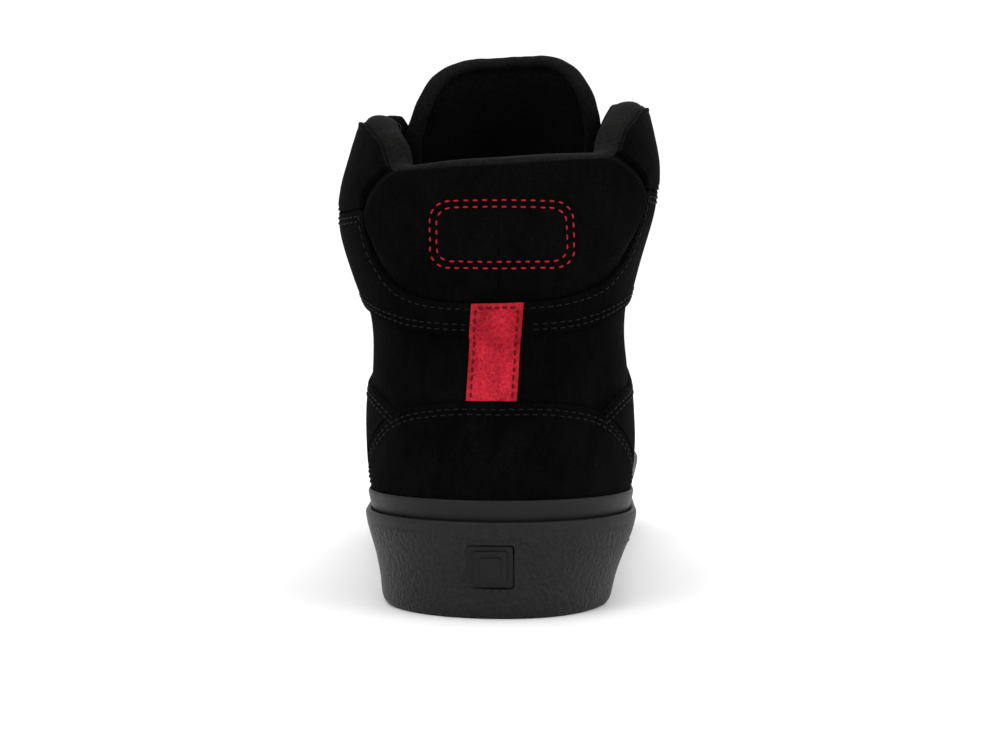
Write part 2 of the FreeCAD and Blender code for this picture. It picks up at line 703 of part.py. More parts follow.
# ---------------------------------------------------------------- eyelets
def eyelet_place(row, sign):
    u = 0.1 + 0.84 * row / (EYELET_ROWS - 1)
    a, b = EDGE(1 - u), EYESTAY_OUT(u)
    theta, t = a[0] + (b[0] - a[0]) * 0.42, a[1] + (b[1] - a[1]) * 0.42
    return sign * theta, t


def eyelets():
    holes = []
    for side, sign in (("medial", 1), ("lateral", -1)):
        rings = []
        for row in range(EYELET_ROWS):
            theta, t = eyelet_place(row, sign)
            p, n = skin(theta, t), normal(theta, t)
            tube = Part.makeCylinder(EYELET_BARREL, 4.6, p - n * 2.7, n)
            tube = tube.fuse(Part.makeCylinder(EYELET_FLANGE, 0.7, p + n * 1.75, n))
            tube = tube.cut(Part.makeCylinder(EYELET_HOLE, 20, p - n * 10, n))
            rings.append(tube)
            holes.append(Part.makeCylinder(EYELET_BARREL + 0.1, 16, p - n * 8, n))
        keep("eyelets_" + side, *[s for r in rings for s in r.Solids])
    drill = Part.makeCompound(holes)
    for name in ("eyestay_medial", "eyestay_lateral", "quarter_medial", "quarter_lateral", "quarter_lining"):
        PARTS[name] = [s for solid in PARTS[name] for s in solids_of(solid.cut(drill))]


def main():
    base_layers()
    overlays()
    sole()
    tongue()
    eyelets()
    os.makedirs("parts", exist_ok=True)
    for name, solids in PARTS.items():
        shape = solids[0] if len(solids) == 1 else Part.makeCompound(solids)
        shape.exportStep("parts/" + name + ".step")


main()
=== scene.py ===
import math

import bmesh
import bpy
import numpy as np
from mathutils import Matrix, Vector
from mathutils.bvhtree import BVHTree


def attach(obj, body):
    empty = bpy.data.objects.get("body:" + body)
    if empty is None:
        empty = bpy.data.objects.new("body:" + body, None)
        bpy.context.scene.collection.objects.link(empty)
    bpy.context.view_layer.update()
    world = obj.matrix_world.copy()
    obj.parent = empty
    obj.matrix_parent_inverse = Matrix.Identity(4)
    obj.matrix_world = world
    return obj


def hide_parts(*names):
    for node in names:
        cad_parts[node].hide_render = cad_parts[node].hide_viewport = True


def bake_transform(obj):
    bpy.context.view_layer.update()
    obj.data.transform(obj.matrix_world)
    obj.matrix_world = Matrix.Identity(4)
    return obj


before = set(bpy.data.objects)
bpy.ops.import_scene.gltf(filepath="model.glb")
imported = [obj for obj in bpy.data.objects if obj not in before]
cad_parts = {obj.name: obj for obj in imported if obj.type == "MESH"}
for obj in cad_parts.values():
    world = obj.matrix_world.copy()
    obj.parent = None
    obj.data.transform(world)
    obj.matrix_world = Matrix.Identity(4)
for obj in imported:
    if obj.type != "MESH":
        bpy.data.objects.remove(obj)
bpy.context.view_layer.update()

# ================================================================ the last's form, as in part.py (mm)
SOLE_LENGTH, TOE_SPRING, SPRING_START = 298.0, 8.0, 188.0
MID_X, MID_Y = -2.7, 149.0
SUEDE, BASE, LINING, AIR, COUNTER, COLLAR_FOAM = 1.2, 1.4, 1.0, 0.1, 1.6, 8.0
EYELET_ROWS, EYELET_HOLE = 8, 2.72
TONGUE_OUT, TONGUE_FOAM = -3.5, 3.9
TONGUE_LOW, TONGUE_HIGH = 4.62, 8.97         # levels of the form at the tongue's foot and top
FEATHER = -0.1                               # level of the upper's lower edge
OUT = 0.1                                    # air between an overlay and the panel under it

# Each level: y and z at the heel, y and z at the toe, how far the heel and the toe round off, and the
# half widths at five stations from heel to toe.
LEVELS = [
    (7.5, 20, 290, 20, 36, 70, (34.5, 34.5, 39.5, 45.5, 42.0)),
    (3.8, 34, 294, 33, 38, 74, (38.5, 38.5, 43.5, 49.5, 46.0)),
    (3.0, 48, 291, 46, 40, 76, (40.5, 40.0, 43.5, 48.5, 44.0)),
    (4.0, 62, 272, 57, 40, 80, (40.5, 39.5, 42.0, 45.0, 38.0)),
    (6.5, 76, 228, 67, 40, 80, (40.5, 39.5, 39.5, 38.0, 34.0)),
    (8.0, 90, 184, 82, 41, 75, (43.0, 41.5, 38.0, 33.0, 28.0)),
    (6.5, 106, 152, 106, 43, 65, (49.0, 47.0, 42.0, 35.0, 28.0)),
    (5.0, 122, 129, 130, 44, 56, (52.0, 52.3, 48.0, 41.5, 34.0)),
    (6.0, 138, 114, 152, 44, 50, (44.0, 46.2, 45.8, 43.0, 38.0)),
    (8.0, 156, 105, 172, 43, 46, (40.0, 41.5, 43.0, 43.0, 39.0)),
    (10.0, 172, 101, 190, 42, 45, (38.5, 40.0, 42.0, 42.0, 38.0)),
]
# The sole's sideways bend every 50 mm, then by level: the roll towards the medial side, and the share that
# each side is slimmer by.
BANANA = (0.0, 0.0, -1.6, -3.6, -3.4, -0.6, 2.6)
ROLL = (0.0, 0.0, 0.0, 0.0, 0.0, 0.02, 0.06, 0.075, 0.05, 0.04, 0.04)
SLIM_MEDIAL = (0.03, 0.032, 0.036, 0.045, 0.065, 0.135, 0.10, 0.062, 0.062, 0.062, 0.062)
SLIM_LATERAL = (0.0, 0.0, 0.0, 0.0, 0.01, 0.045, 0.0, 0.0, 0.065, 0.06, 0.06)
SPREAD = 0.145
COLUMNS = np.array([row[:6] for row in LEVELS], float).T
WIDTHS = np.array([row[6] for row in LEVELS], float).T


def bspline(values, x):
    """Uniform cubic B-spline over numbers; values may be one row, or one per point (rows last)."""
    values = np.asarray(values, float)
    x = np.asarray(x, float)
    n = values.shape[0]
    i = np.clip(np.floor(x).astype(int), 0, n - 2)
    f = x - i

    def pick(k):
        low = 2 * values[0] - values[1]
        high = 2 * values[-1] - values[-2]
        inner = values[np.clip(k, 0, n - 1)] if values.ndim == 1 else \
            np.take_along_axis(values, np.clip(k, 0, n - 1)[None], 0)[0]
        return np.where(k < 0, low, np.where(k > n - 1, high, inner))
    return ((1 - f) ** 3 * pick(i - 1) + (3 * f ** 3 - 6 * f ** 2 + 4) * pick(i)
            + (-3 * f ** 3 + 3 * f ** 2 + 3 * f + 1) * pick(i + 1) + f ** 3 * pick(i + 2)) / 6


def smooth(x):
    x = np.clip(x, 0.0, 1.0)
    return x * x * (3 - 2 * x)


def spring(y):
    return TOE_SPRING * np.maximum(0.0, (y - SPRING_START) / (SOLE_LENGTH - SPRING_START)) ** 2


def rounding(distance, reach):
    d = np.clip(distance / reach, 0.0, 1.0)
    return np.sqrt(np.maximum(0.0, 1 - (1 - d) ** 2))


def spread(theta, t):
    """How far the back panel's seams reach further round on the medial side, in radians."""
    level = smooth((t - 4.4) / 1.6) * (1 - 0.6 * smooth((t - 6.8) / 0.7))
    return SPREAD * level * smooth(theta / 0.7) * (1 - smooth((theta - 0.8) / 0.6))


def form(theta, t, rolled=True):
    """The last's surface: theta is 0 at the heel and pi at the toe, positive on the medial side, and t is
    the level.  Without rolled it is the symmetric form that the seams are laid out on."""
    theta, t = np.broadcast_arrays(np.asarray(theta, float), np.asarray(t, float))
    if rolled:
        theta = np.where(np.sin(theta) > 0, theta + spread(theta, t), theta)
    yb, zb, yf, zf, rb, rf = (bspline(c, t) for c in COLUMNS)
    q = (1 - np.cos(theta)) / 2
    y = yb + q * (yf - yb)
    stations = np.stack([bspline(w, t) for w in WIDTHS])
    half = bspline(stations, 4 * q)
    half = half * rounding(y - yb, rb) * rounding(yf - y, rf)
    bend = bspline(BANANA, y / 50) * np.maximum(0.0, 1 - t / 7)
    across = np.sin(theta)
    if rolled:
        slim = np.where(across < 0, bspline(SLIM_LATERAL, t), bspline(SLIM_MEDIAL, t))
        half = half * (1 - slim * smooth(np.abs(across) / 0.5))
    x = np.where(across < 0, -half, half) + bend
    z = zb + q * (zf - zb) + spring(y)
    if rolled:
        z = z + bspline(ROLL, t) * x
    return np.stack([x, y, z], -1)


def unit(v):
    return v / np.maximum(np.linalg.norm(v, axis=-1, keepdims=True), 1e-12)


def normal(theta, t):
    e = 0.004
    return unit(np.cross(form(theta + e, t) - form(theta - e, t), form(theta, t + e) - form(theta, t - e)))


SHIFT = np.array([MID_X, MID_Y, 0.0])


def skin(theta, t, offset=0.0):
    """A point at an offset outside the form, in the row frame, in mm."""
    return form(theta, t) + normal(theta, t) * np.asarray(offset)[..., None] - SHIFT


def solve(error, theta, t):
    for _ in range(40):
        a, b = error(theta, t)
        if abs(a) + abs(b) < 1e-6:
            break
        e = 1e-5
        a1, b1 = error(theta + e, t)
        a2, b2 = error(theta, t + e)
        j11, j21, j12, j22 = (a1 - a) / e, (b1 - b) / e, (a2 - a) / e, (b2 - b) / e
        det = j11 * j22 - j12 * j21
        dtheta, dt = (-a * j22 + b * j12) / det, (a * j21 - b * j11) / det
        scale = min(1.0, 0.35 / max(abs(dtheta), 1e-9), 1.0 / max(abs(dt), 1e-9))
        theta = min(max(theta + dtheta * scale, 1e-4), math.pi - 1e-4)
        t = min(max(t + dt * scale, -0.9), len(LEVELS) - 1)
    return theta, t


def by_side(y, z):
    """(theta, t) of a place seen from the side, y from the heel."""
    def error(theta, t):
        p = form(theta, t, False)
        return p[1] - y, p[2] - z
    return solve(error, 1.6, 3.0 if z < 80 else 6.0)


def by_x(x, z, front=False):
    """(theta, t) of a place seen from the back, or from the front."""
    def error(theta, t):
        p = form(theta, t, False)
        return p[0] - max(x, 1e-3), p[2] - z
    return solve(error, 2.6 if front else 0.5, max(0.5, (z - 20) / 15))


def on_back(x, z):
    """(theta, t) of a place on the back as seen from behind; x and z are true, with the roll."""
    sign = -1 if x < 0 else 1

    def error(theta, t):
        p = form(sign * theta, t)
        return p[0] - x, p[2] - z
    theta, t = solve(error, 0.35, max(0.5, (z - 20) / 15))
    return sign * theta, t


def through(points):
    """A natural cubic spline u -> (theta, t), by chord length."""
    p = np.array(points, float)
    chord = np.concatenate([[0], np.cumsum(np.hypot(np.diff(p[:, 0]) * 3, np.diff(p[:, 1])))])
    x = chord / chord[-1]
    n = len(x)
    if n == 2:
        return lambda u: (p[0, 0] + (p[1, 0] - p[0, 0]) * u, p[0, 1] + (p[1, 1] - p[0, 1]) * u)
    h = np.diff(x)
    a = np.zeros((n, n))
    r = np.zeros((n, 2))
    a[0, 0] = a[-1, -1] = 1
    for k in range(1, n - 1):
        a[k, k - 1:k + 2] = h[k - 1], 2 * (h[k - 1] + h[k]), h[k]
        r[k] = 6 * ((p[k + 1] - p[k]) / h[k] - (p[k] - p[k - 1]) / h[k - 1])
    m = np.linalg.solve(a, r)

    def at(u):
        u = np.clip(np.asarray(u, float), 0, 1)
        k = np.clip(np.searchsorted(x, u, side="right") - 1, 0, n - 2)
        d = (u - x[k])[..., None]
        g = h[k][..., None]
        s = (m[k] * (g - d) ** 3 / (6 * g) + m[k + 1] * d ** 3 / (6 * g)
             + (p[k] / g - m[k] * g / 6) * (g - d) + (p[k + 1] / g - m[k + 1] * g / 6) * d)
        return s[..., 0], s[..., 1]
    return at


def line(*points):
    return through([tuple(float(v) for v in p) for p in points])


def part_of(curve, a, b):
    return lambda u: curve(a + (b - a) * u)


def mirrored(curve):
    def at(u):
        a, b = curve(u)
        return -a, b
    return at


def turned(curve):
    return lambda u: curve(1 - np.asarray(u, float))


def shy(curve, dtheta=0.0, dt=0.0):
    def at(u):
        a, b = curve(u)
        return a + dtheta, b + dt
    return at


def both_sides(curve):
    def at(u):
        u = np.asarray(u, float)
        a, b = curve(np.abs(2 * u - 1))
        return np.where(u >= 0.5, a, -a), b
    return at


def around_toe(curve):
    def at(u):
        u = np.asarray(u, float)
        a, b = curve(1 - np.abs(2 * u - 1))
        return np.where(u < 0.5, -a, a - 2 * math.pi), b
    return at


def joined(first, second, n=12):
    points = [first(k / n) for k in range(n)] + [second(k / n) for k in range(n + 1)]
    return line(*points)


def coons(low, high, left, right):
    """The region (u, v) -> (theta, t) inside four curves."""
    def at(u, v):
        u, v = np.broadcast_arrays(u, v)
        a, b, c, d = low(u), high(u), left(v), right(v)
        c00, c10, c01, c11 = low(0.0), low(1.0), high(0.0), high(1.0)
        return tuple((1 - v) * a[k] + v * b[k] + (1 - u) * c[k] + u * d[k]
                     - (1 - u) * (1 - v) * c00[k] - u * (1 - v) * c10[k]
                     - (1 - u) * v * c01[k] - u * v * c11[k] for k in (0, 1))
    return at


def between(low, high):
    def at(u, v):
        u, v = np.broadcast_arrays(u, v)
        a, b = low(u), high(u)
        return a[0] + (b[0] - a[0]) * v, a[1] + (b[1] - a[1]) * v
    return at


def signed(region, sign):
    if sign > 0:
        return region

    def at(u, v):
        a, b = region(1 - np.asarray(u, float), v)
        return -a, b
    return at


def whole(region):
    def at(u, v):
        u = np.asarray(u, float)
        a, b = region(np.abs(2 * u - 1), v)
        return np.where(u >= 0.5, a, -a), b
    return at


def side_curve(curve, sign):
    return curve if sign > 0 else mirrored(curve)


# ================================================================ seam lines, as in part.py
TOPLINE = line((0.0, 7.5), (0.3, 7.5), (0.52, 7.47), (0.64, 7.5), (0.72, 7.68), (0.8, 7.88), (0.93, 8.04),
               (1.15, 8.2), by_side(58, 148), by_side(72, 150.5), by_side(80, 151.8), by_side(86, 152))
EDGE = line(by_side(86, 152), by_x(34.5, 147, True), by_x(31.5, 139, True), by_x(27, 128, True),
            by_x(21.5, 115, True), by_x(16, 101, True), by_x(11, 88.5, True), by_x(9.5, 84, True))
SEAM = line(by_side(165, 19), by_side(171, 38), by_side(177, 55), by_side(181, 67),
            by_side(183, 76), by_x(9.5, 83.4, True))
FRONT_EDGE = line(*[SEAM(k / 10) for k in range(10)], *[EDGE(1 - k / 12) for k in range(13)])
U_SIDE = line((0.745, 6.8), (0.748, 7.12), (0.71, 7.33), (0.64, 7.5))
EYESTAY_OUT = line(by_side(178, 71), by_side(160, 73), by_side(141, 83), by_side(122, 98),
                   by_side(104, 114), by_side(89, 128), by_side(78, 140), by_side(70, 150))
U_LINE = line((0.0, 5.03), (0.19, 5.05), (0.385, 5.18), (0.50, 5.36), (0.61, 5.75), (0.695, 6.3),
        (0.745, 6.8))
STRAP_HIGH = line((0.765, 6.86), by_side(31, 120.5), by_side(40.5, 121), by_side(52, 123), by_side(66, 127.5),
        by_side(79, 133.5))
STRAP_LOW = line((0.0, 4.37), (0.22, 4.42), (0.43, 4.54), (0.58, 4.71), (0.72, 4.9), by_side(45, 92),
        by_side(68, 99.5), by_side(88, 108), by_side(102, 115))
ARCH = line((0.0, 3.02), (0.17, 3.02), (0.29, 2.96), (0.375, 2.885), (0.46, 2.73), (0.53, 2.52), (0.59, 2.26),
        (0.645, 2.0), by_side(42, 40), by_side(50, 33))
SADDLE = line((0.45, 2.78), (0.53, 3.04), (0.64, 3.2), by_side(50, 68), by_side(85, 72), by_side(120, 75),
        by_side(152, 74))
MUDGUARD = line(by_side(152, 74), by_side(175, 70), by_side(200, 64), (2.42, 3.22),
                (2.62, 3.1), (2.85, 3.05), (math.pi, 3.03))
REAR_TOE = line(by_side(152, 19), by_side(152, 74))


def curve_at(curve, theta):
    """Where along a curve its theta is reached."""
    lo, hi = 0.0, 1.0
    for _ in range(30):
        mid = (lo + hi) / 2
        lo, hi = (mid, hi) if curve(mid)[0] < theta else (lo, mid)
    return lo


def level_on(curve, theta):
    return theta, float(curve(curve_at(curve, theta))[1])


# ================================================================ materials
MATERIALS = {}


class Nodes:
    """A small helper to build a material's node tree."""

    def __init__(self, name):
        self.mat = bpy.data.materials.new(name)
        self.mat.use_nodes = True
        self.tree = self.mat.node_tree
        self.shader = self.tree.nodes["Principled BSDF"]
        self.coord = self.tree.nodes.new("ShaderNodeTexCoord").outputs["Object"]
        MATERIALS[name] = self.mat

    def feed(self, socket, value):
        """Links another node's output to a socket, or sets the socket to a constant."""
        if hasattr(value, "is_output"):
            self.tree.links.new(value, socket)
        else:
            socket.default_value = value

    def new(self, kind, **inputs):
        node = self.tree.nodes.new("ShaderNode" + kind)
        for name, value in inputs.items():
            self.feed(node.inputs[name], value)
        return node

    def scaled(self, scale):
        return self.new("Mapping", Scale=scale, Vector=self.coord).outputs["Vector"]

    def noise(self, scale, detail=2.0, rough=0.5, vector=None, distortion=0.0):
        return self.new("TexNoise", Scale=scale, Detail=detail, Roughness=rough, Distortion=distortion,
                        Vector=vector or self.coord).outputs["Fac"]

    def voronoi(self, scale):
        return self.new("TexVoronoi", Scale=scale, Vector=self.coord).outputs["Distance"]

    def ramp(self, value, stops):
        node = self.new("ValToRGB", Fac=value)
        ramp = node.color_ramp
        while len(ramp.elements) < len(stops):
            ramp.elements.new(0.5)
        for element, (place, colour) in zip(ramp.elements, stops):
            element.position = place
            element.color = colour if isinstance(colour, tuple) else (colour, colour, colour, 1)
        return node.outputs["Color"]

    def math(self, kind, a, b):
        node = self.new("Math")
        node.operation = kind
        self.feed(node.inputs[0], a)
        self.feed(node.inputs[1], b)
        return node.outputs[0]

    def multiply(self, a, b):
        node = self.new("Mix")
        node.data_type, node.blend_type = "RGBA", "MULTIPLY"
        for name, value in ((0, 1.0), (6, a), (7, b)):
            self.feed(node.inputs[name], value)
        return node.outputs[2]

    def height(self):
        node = self.new("SeparateXYZ")
        self.feed(node.inputs[0], self.coord)
        return node.outputs["Z"]

    def bump(self, height, strength, distance, before=None):
        node = self.new("Bump", Strength=strength, Distance=distance, Height=height)
        if before is not None:
            self.feed(node.inputs["Normal"], before)
        return node.outputs["Normal"]

    def done(self, colour, rough, bump=None, sheen=0.0, sheen_rough=0.5, tint=(1, 1, 1, 1),
             specular=0.5, coat=0.0, coat_rough=0.1):
        values = {"Base Color": colour, "Roughness": rough, "Normal": bump, "Sheen Weight": sheen,
                  "Sheen Roughness": sheen_rough, "Sheen Tint": tint, "Specular IOR Level": specular,
                  "Coat Weight": coat, "Coat Roughness": coat_rough}
        for name, value in values.items():
            if value is not None:
                self.feed(self.shader.inputs[name], value)


def grey(value):
    return (value, value, value * 0.96, 1)


def suede(name, dark, light, sheen, tint, bump=0.7):
    n = Nodes(name)
    patches = n.noise(28, 4, 0.6, distortion=0.6)
    nap = n.noise(260, 3, 0.65, vector=n.scaled((1.0, 1.0, 0.45)))
    fibre = n.noise(1500, 3, 0.7)
    a = n.ramp(patches, [(0.35, dark), (0.68, light)])
    b = n.ramp(nap, [(0.3, 0.72), (0.7, 1.3)])
    c = n.ramp(fibre, [(0.3, 0.55), (0.72, 1.5)])
    colour = n.multiply(n.multiply(a, b), c)
    rough = n.ramp(patches, [(0.3, 0.98), (0.75, 0.86)])
    first = n.bump(nap, 0.35 * bump, 0.0006)
    n.done(colour, rough, n.bump(fibre, 0.8 * bump, 0.00035, first), sheen, 0.55, tint, 0.02)


def fabric(name, dark, light, scale, sheen):
    """A close knit: two crossed sets of fine ribs, broken up by fibre noise."""
    n = Nodes(name)
    warp = n.noise(scale, 1, 0.4, vector=n.scaled((1.0, 1.0, 3.2)))
    weft = n.noise(scale, 1, 0.4, vector=n.scaled((3.2, 3.2, 1.0)))
    weave = n.math("MAXIMUM", warp, weft)
    soft = n.noise(24, 3, 0.6)
    colour = n.multiply(n.ramp(soft, [(0.35, dark), (0.7, light)]),
                        n.ramp(weave, [(0.4, 0.6), (0.75, 1.35)]))
    n.done(colour, n.ramp(soft, [(0.3, 0.98), (0.8, 0.88)]), n.bump(weave, 0.5, 0.0004), sheen,
           specular=0.03)


RAMP_SPAN, GRAIN_END, SMOOTH_START = 40.0, 24.2, 25.4      # heights on the cup's wall, mm


def build_materials():
    suede("suede_black", grey(0.0009), grey(0.0021), 0.002, (0.5, 0.5, 0.5, 1))
    # A darker copy of the black suede for the collar's back panel: its extra darkness is painted shade of the
    # inset panel.
    suede("suede_black_painted_shade", grey(0.0008), grey(0.0018), 0.002, (0.5, 0.5, 0.5, 1))
    suede("suede_edge", grey(0.0028), grey(0.0055), 0.006, (0.6, 0.6, 0.6, 1), 0.5)
    suede("suede_red", (0.27, 0.009, 0.017, 1), (0.40, 0.016, 0.028, 1), 0.02, (1.0, 0.35, 0.35, 1), 0.8)
    suede("suede_red_edge", (0.24, 0.006, 0.012, 1), (0.32, 0.010, 0.017, 1), 0.02, (1.0, 0.3, 0.3, 1), 0.5)
    fabric("lining", grey(0.0052), grey(0.0088), 520, 0.01)
    # The tongue's lining is a darker copy of the lining: its extra darkness is painted shade from deep inside
    # the shoe's opening.
    fabric("tongue_lining", grey(0.0018), grey(0.0034), 520, 0.008)
    fabric("binding", grey(0.0042), grey(0.0070), 600, 0.01)
    fabric("webbing", grey(0.003), grey(0.006), 900, 0.01)
    fabric("sock", grey(0.004), grey(0.009), 420, 0.02)

    # cup rubber: a smooth strip at the lip, a fine sandblasted grain below it
    n = Nodes("cup_rubber")
    tone = n.noise(22, 3, 0.55)
    grain = n.noise(850, 2, 0.6)
    pits = n.voronoi(620)
    mask = n.ramp(n.math("MULTIPLY", n.height(), 1000 / RAMP_SPAN),
                  [(GRAIN_END / RAMP_SPAN, 1.0), (SMOOTH_START / RAMP_SPAN, 0.0)])
    mix = n.math("MULTIPLY", n.math("ADD", grain, n.math("MULTIPLY", pits, 0.5)), mask)
    dust = n.ramp(n.noise(70, 4, 0.7), [(0.45, 0.86), (0.75, 1.25)])
    colour = n.multiply(n.ramp(tone, [(0.3, grey(0.0045)), (0.75, grey(0.0068))]), dust)
    colour = n.multiply(colour, n.ramp(grain, [(0.3, 0.6), (0.7, 1.5)]))
    rough = n.ramp(tone, [(0.3, 0.46), (0.8, 0.6)])
    n.done(colour, rough, n.bump(mix, 1.0, 0.0006), specular=0.2)

    n = Nodes("band_rubber")
    tone = n.noise(30, 3, 0.55)
    scuff = n.noise(160, 4, 0.65, vector=n.scaled((1, 1, 4)))
    colour = n.multiply(n.ramp(tone, [(0.3, grey(0.0062)), (0.75, grey(0.0088))]),
                        n.ramp(scuff, [(0.3, 0.9), (0.7, 1.15)]))
    n.done(colour, n.ramp(scuff, [(0.3, 0.42), (0.8, 0.58)]), n.bump(scuff, 0.08, 0.0003), specular=0.16)

    n = Nodes("badge_rubber")
    grain = n.noise(1400, 2, 0.6)
    n.done(n.ramp(n.noise(60, 3, 0.5), [(0.3, grey(0.007)), (0.8, grey(0.010))]), 0.5,
           n.bump(grain, 0.3, 0.0002), specular=0.14)

    def thread(name, a, b, sheen):
        n = Nodes(name)
        ply = n.noise(2600, 2, 0.5)
        n.done(n.ramp(ply, [(0.3, a), (0.7, b)]), 0.55, n.bump(ply, 0.5, 0.0002), sheen, 0.4,
               specular=0.08)
    thread("thread_black", grey(0.0022), grey(0.0048), 0.01)
    # The strip's thread: a darker red than the frame's thread, and the extra darkness is painted shade of
    # stitches sunk in the strip.
    thread("thread_red_painted_shade", (0.05, 0.001, 0.003, 1), (0.12, 0.003, 0.006, 1), 0.01)
    thread("thread_red", (0.26, 0.006, 0.013, 1), (0.44, 0.016, 0.028, 1), 0.02)

    n = Nodes("eyelet_enamel")
    wear = n.noise(420, 4, 0.6)
    n.shader.inputs["Metallic"].default_value = 0.6
    n.done(n.ramp(wear, [(0.45, grey(0.006)), (0.8, grey(0.02))]),
           n.ramp(wear, [(0.35, 0.28), (0.8, 0.45)]), n.bump(wear, 0.06, 0.0002), coat=0.3, coat_rough=0.2)

    n = Nodes("foam")
    cells = n.voronoi(900)
    n.done(n.ramp(cells, [(0.2, grey(0.02)), (0.8, grey(0.05))]), 0.95,
           n.bump(cells, 0.5, 0.0004), 0.1)

    n = Nodes("floor")
    n.done(n.ramp(n.noise(3, 2, 0.5), [(0.3, 0.955), (0.7, 0.965)]), 0.85)


# ================================================================ meshes
def wobble(p, size, scale, seed=0.0):
    """Slow, smooth unevenness: a fixed sum of waves in space (p in mm)."""
    x, y, z = p[..., 0] / scale, p[..., 1] / scale, p[..., 2] / scale
    s = (np.sin(1.7 * x + 2.3 * y - 1.1 * z + seed) + np.sin(-2.1 * x + 0.9 * y + 2.6 * z + 1.3 * seed)
         + np.sin(3.3 * x - 1.4 * y + 0.7 * z + 2.1 * seed) * 0.6
         + np.sin(0.8 * x + 3.9 * y + 3.1 * z + 0.7 * seed) * 0.5)
    return size * s / 3.1


def make_object(name, verts, faces, materials, face_slots=None):
    mesh = bpy.data.meshes.new(name)
    mesh.from_pydata((np.asarray(verts) * 0.001).tolist(), [], faces)
    for m in materials:
        mesh.materials.append(MATERIALS[m])
    if face_slots is not None:
        mesh.polygons.foreach_set("material_index", face_slots)
    mesh.shade_smooth()
    mesh.validate()
    obj = bpy.data.objects.new(name, mesh)
    bpy.context.scene.collection.objects.link(obj)
    return obj


def recalc(obj):
    bm = bmesh.new()
    bm.from_mesh(obj.data)
    bmesh.ops.remove_doubles(bm, verts=bm.verts, dist=1e-6)
    bmesh.ops.recalc_face_normals(bm, faces=bm.faces)
    bm.to_mesh(obj.data)
    bm.free()
    return obj


def edge_steps(n, length, r):
    """0..1 with extra rows for a rounded edge of radius r at both ends of a length."""
    ends = [0.0, 0.13 * r, 0.5 * r, 1.15 * r, 2.2 * r]
    ends = [e / length for e in ends]
    middle = np.linspace(ends[-1], 1 - ends[-1], n + 1)
    return np.concatenate([ends[:-1], middle, 1 - np.array(ends[:-1])[::-1]])


def edge_drop(d, r):
    """How far a rounded edge lies below the face, at distance d in from the edge."""
    d = np.clip(d, 0, r)
    return r - np.sqrt(np.maximum(0, r * r - (r - d) ** 2))


def grid_faces(rows, cols, start=0, flip=False):
    faces = []
    for i in range(rows - 1):
        for j in range(cols - 1):
            a = start + i * cols + j
            f = (a, a + cols, a + cols + 1, a + 1)
            faces.append(f[::-1] if flip else f)
    return faces


def ring_faces(rows, n, close=False):
    """Quads between loops of n points each; with close, the last loop joins the first."""
    faces = []
    for i in range(rows if close else rows - 1):
        a, b = i * n, (i + 1) % rows * n
        faces += [(a + j, a + (j + 1) % n, b + (j + 1) % n, b + j) for j in range(n)]
    return faces


def rod_faces(rows, n):
    """ring_faces with a flat cap on the first and on the last loop."""
    return [tuple(range(n)), tuple(range((rows - 1) * n, rows * n))[::-1]] + ring_faces(rows, n)


def sheets(outer, inner, slots=(0, 0, 0)):
    """Two grids of points joined round their edges: verts, faces and the material slot of each face,
    where slots are for the outer grid, the inner grid and the joining edge."""
    rows, cols = outer.shape[:2]
    count, cells = rows * cols, (rows - 1) * (cols - 1)
    ring = ([(i, 0) for i in range(rows)] + [(rows - 1, j) for j in range(1, cols)]
            + [(i, cols - 1) for i in range(rows - 2, -1, -1)] + [(0, j) for j in range(cols - 2, 0, -1)])
    ids = [i * cols + j for i, j in ring]
    faces = grid_faces(rows, cols) + grid_faces(rows, cols, count, True)
    faces += [(a, b, b + count, a + count) for a, b in zip(ids, ids[1:] + ids[:1])]
    face_slots = [slots[0]] * cells + [slots[1]] * cells + [slots[2]] * len(ids)
    return np.concatenate([outer.reshape(-1, 3), inner.reshape(-1, 3)]), faces, face_slots


def ladder_cap(verts, faces, loop, start, columns, step):
    """Closes a loop by rungs across it, from its toe (point 0) to its heel.  start is the loop's first
    vertex, and step(left, right, c) is the point c of the columns along a rung."""
    n = len(loop)
    ladder = [[start]]
    for k in range(1, n // 2):
        rung = [step(loop[k], loop[n - k], c) for c in range(1, columns)]
        ladder.append([start + k, *range(len(verts), len(verts) + len(rung)), start + n - k])
        verts += rung
    ladder.append([start + n // 2])
    for a, b in zip(ladder, ladder[1:]):
        if len(a) == 1:
            faces += [(a[0], b[c + 1], b[c]) for c in range(columns)]
        elif len(b) == 1:
            faces += [(a[c], a[c + 1], b[0]) for c in range(columns)]
        else:
            faces += [(a[c], a[c + 1], b[c + 1], b[c]) for c in range(columns)]


def lengths(region):
    """Rough width and height of a region in mm."""
    s = np.linspace(0, 1, 25)
    u = skin(*region(s, np.full(25, 0.5)))
    v = skin(*region(np.full(25, 0.5), s))
    return (np.linalg.norm(np.diff(u, axis=0), axis=1).sum(),
            np.linalg.norm(np.diff(v, axis=0), axis=1).sum())


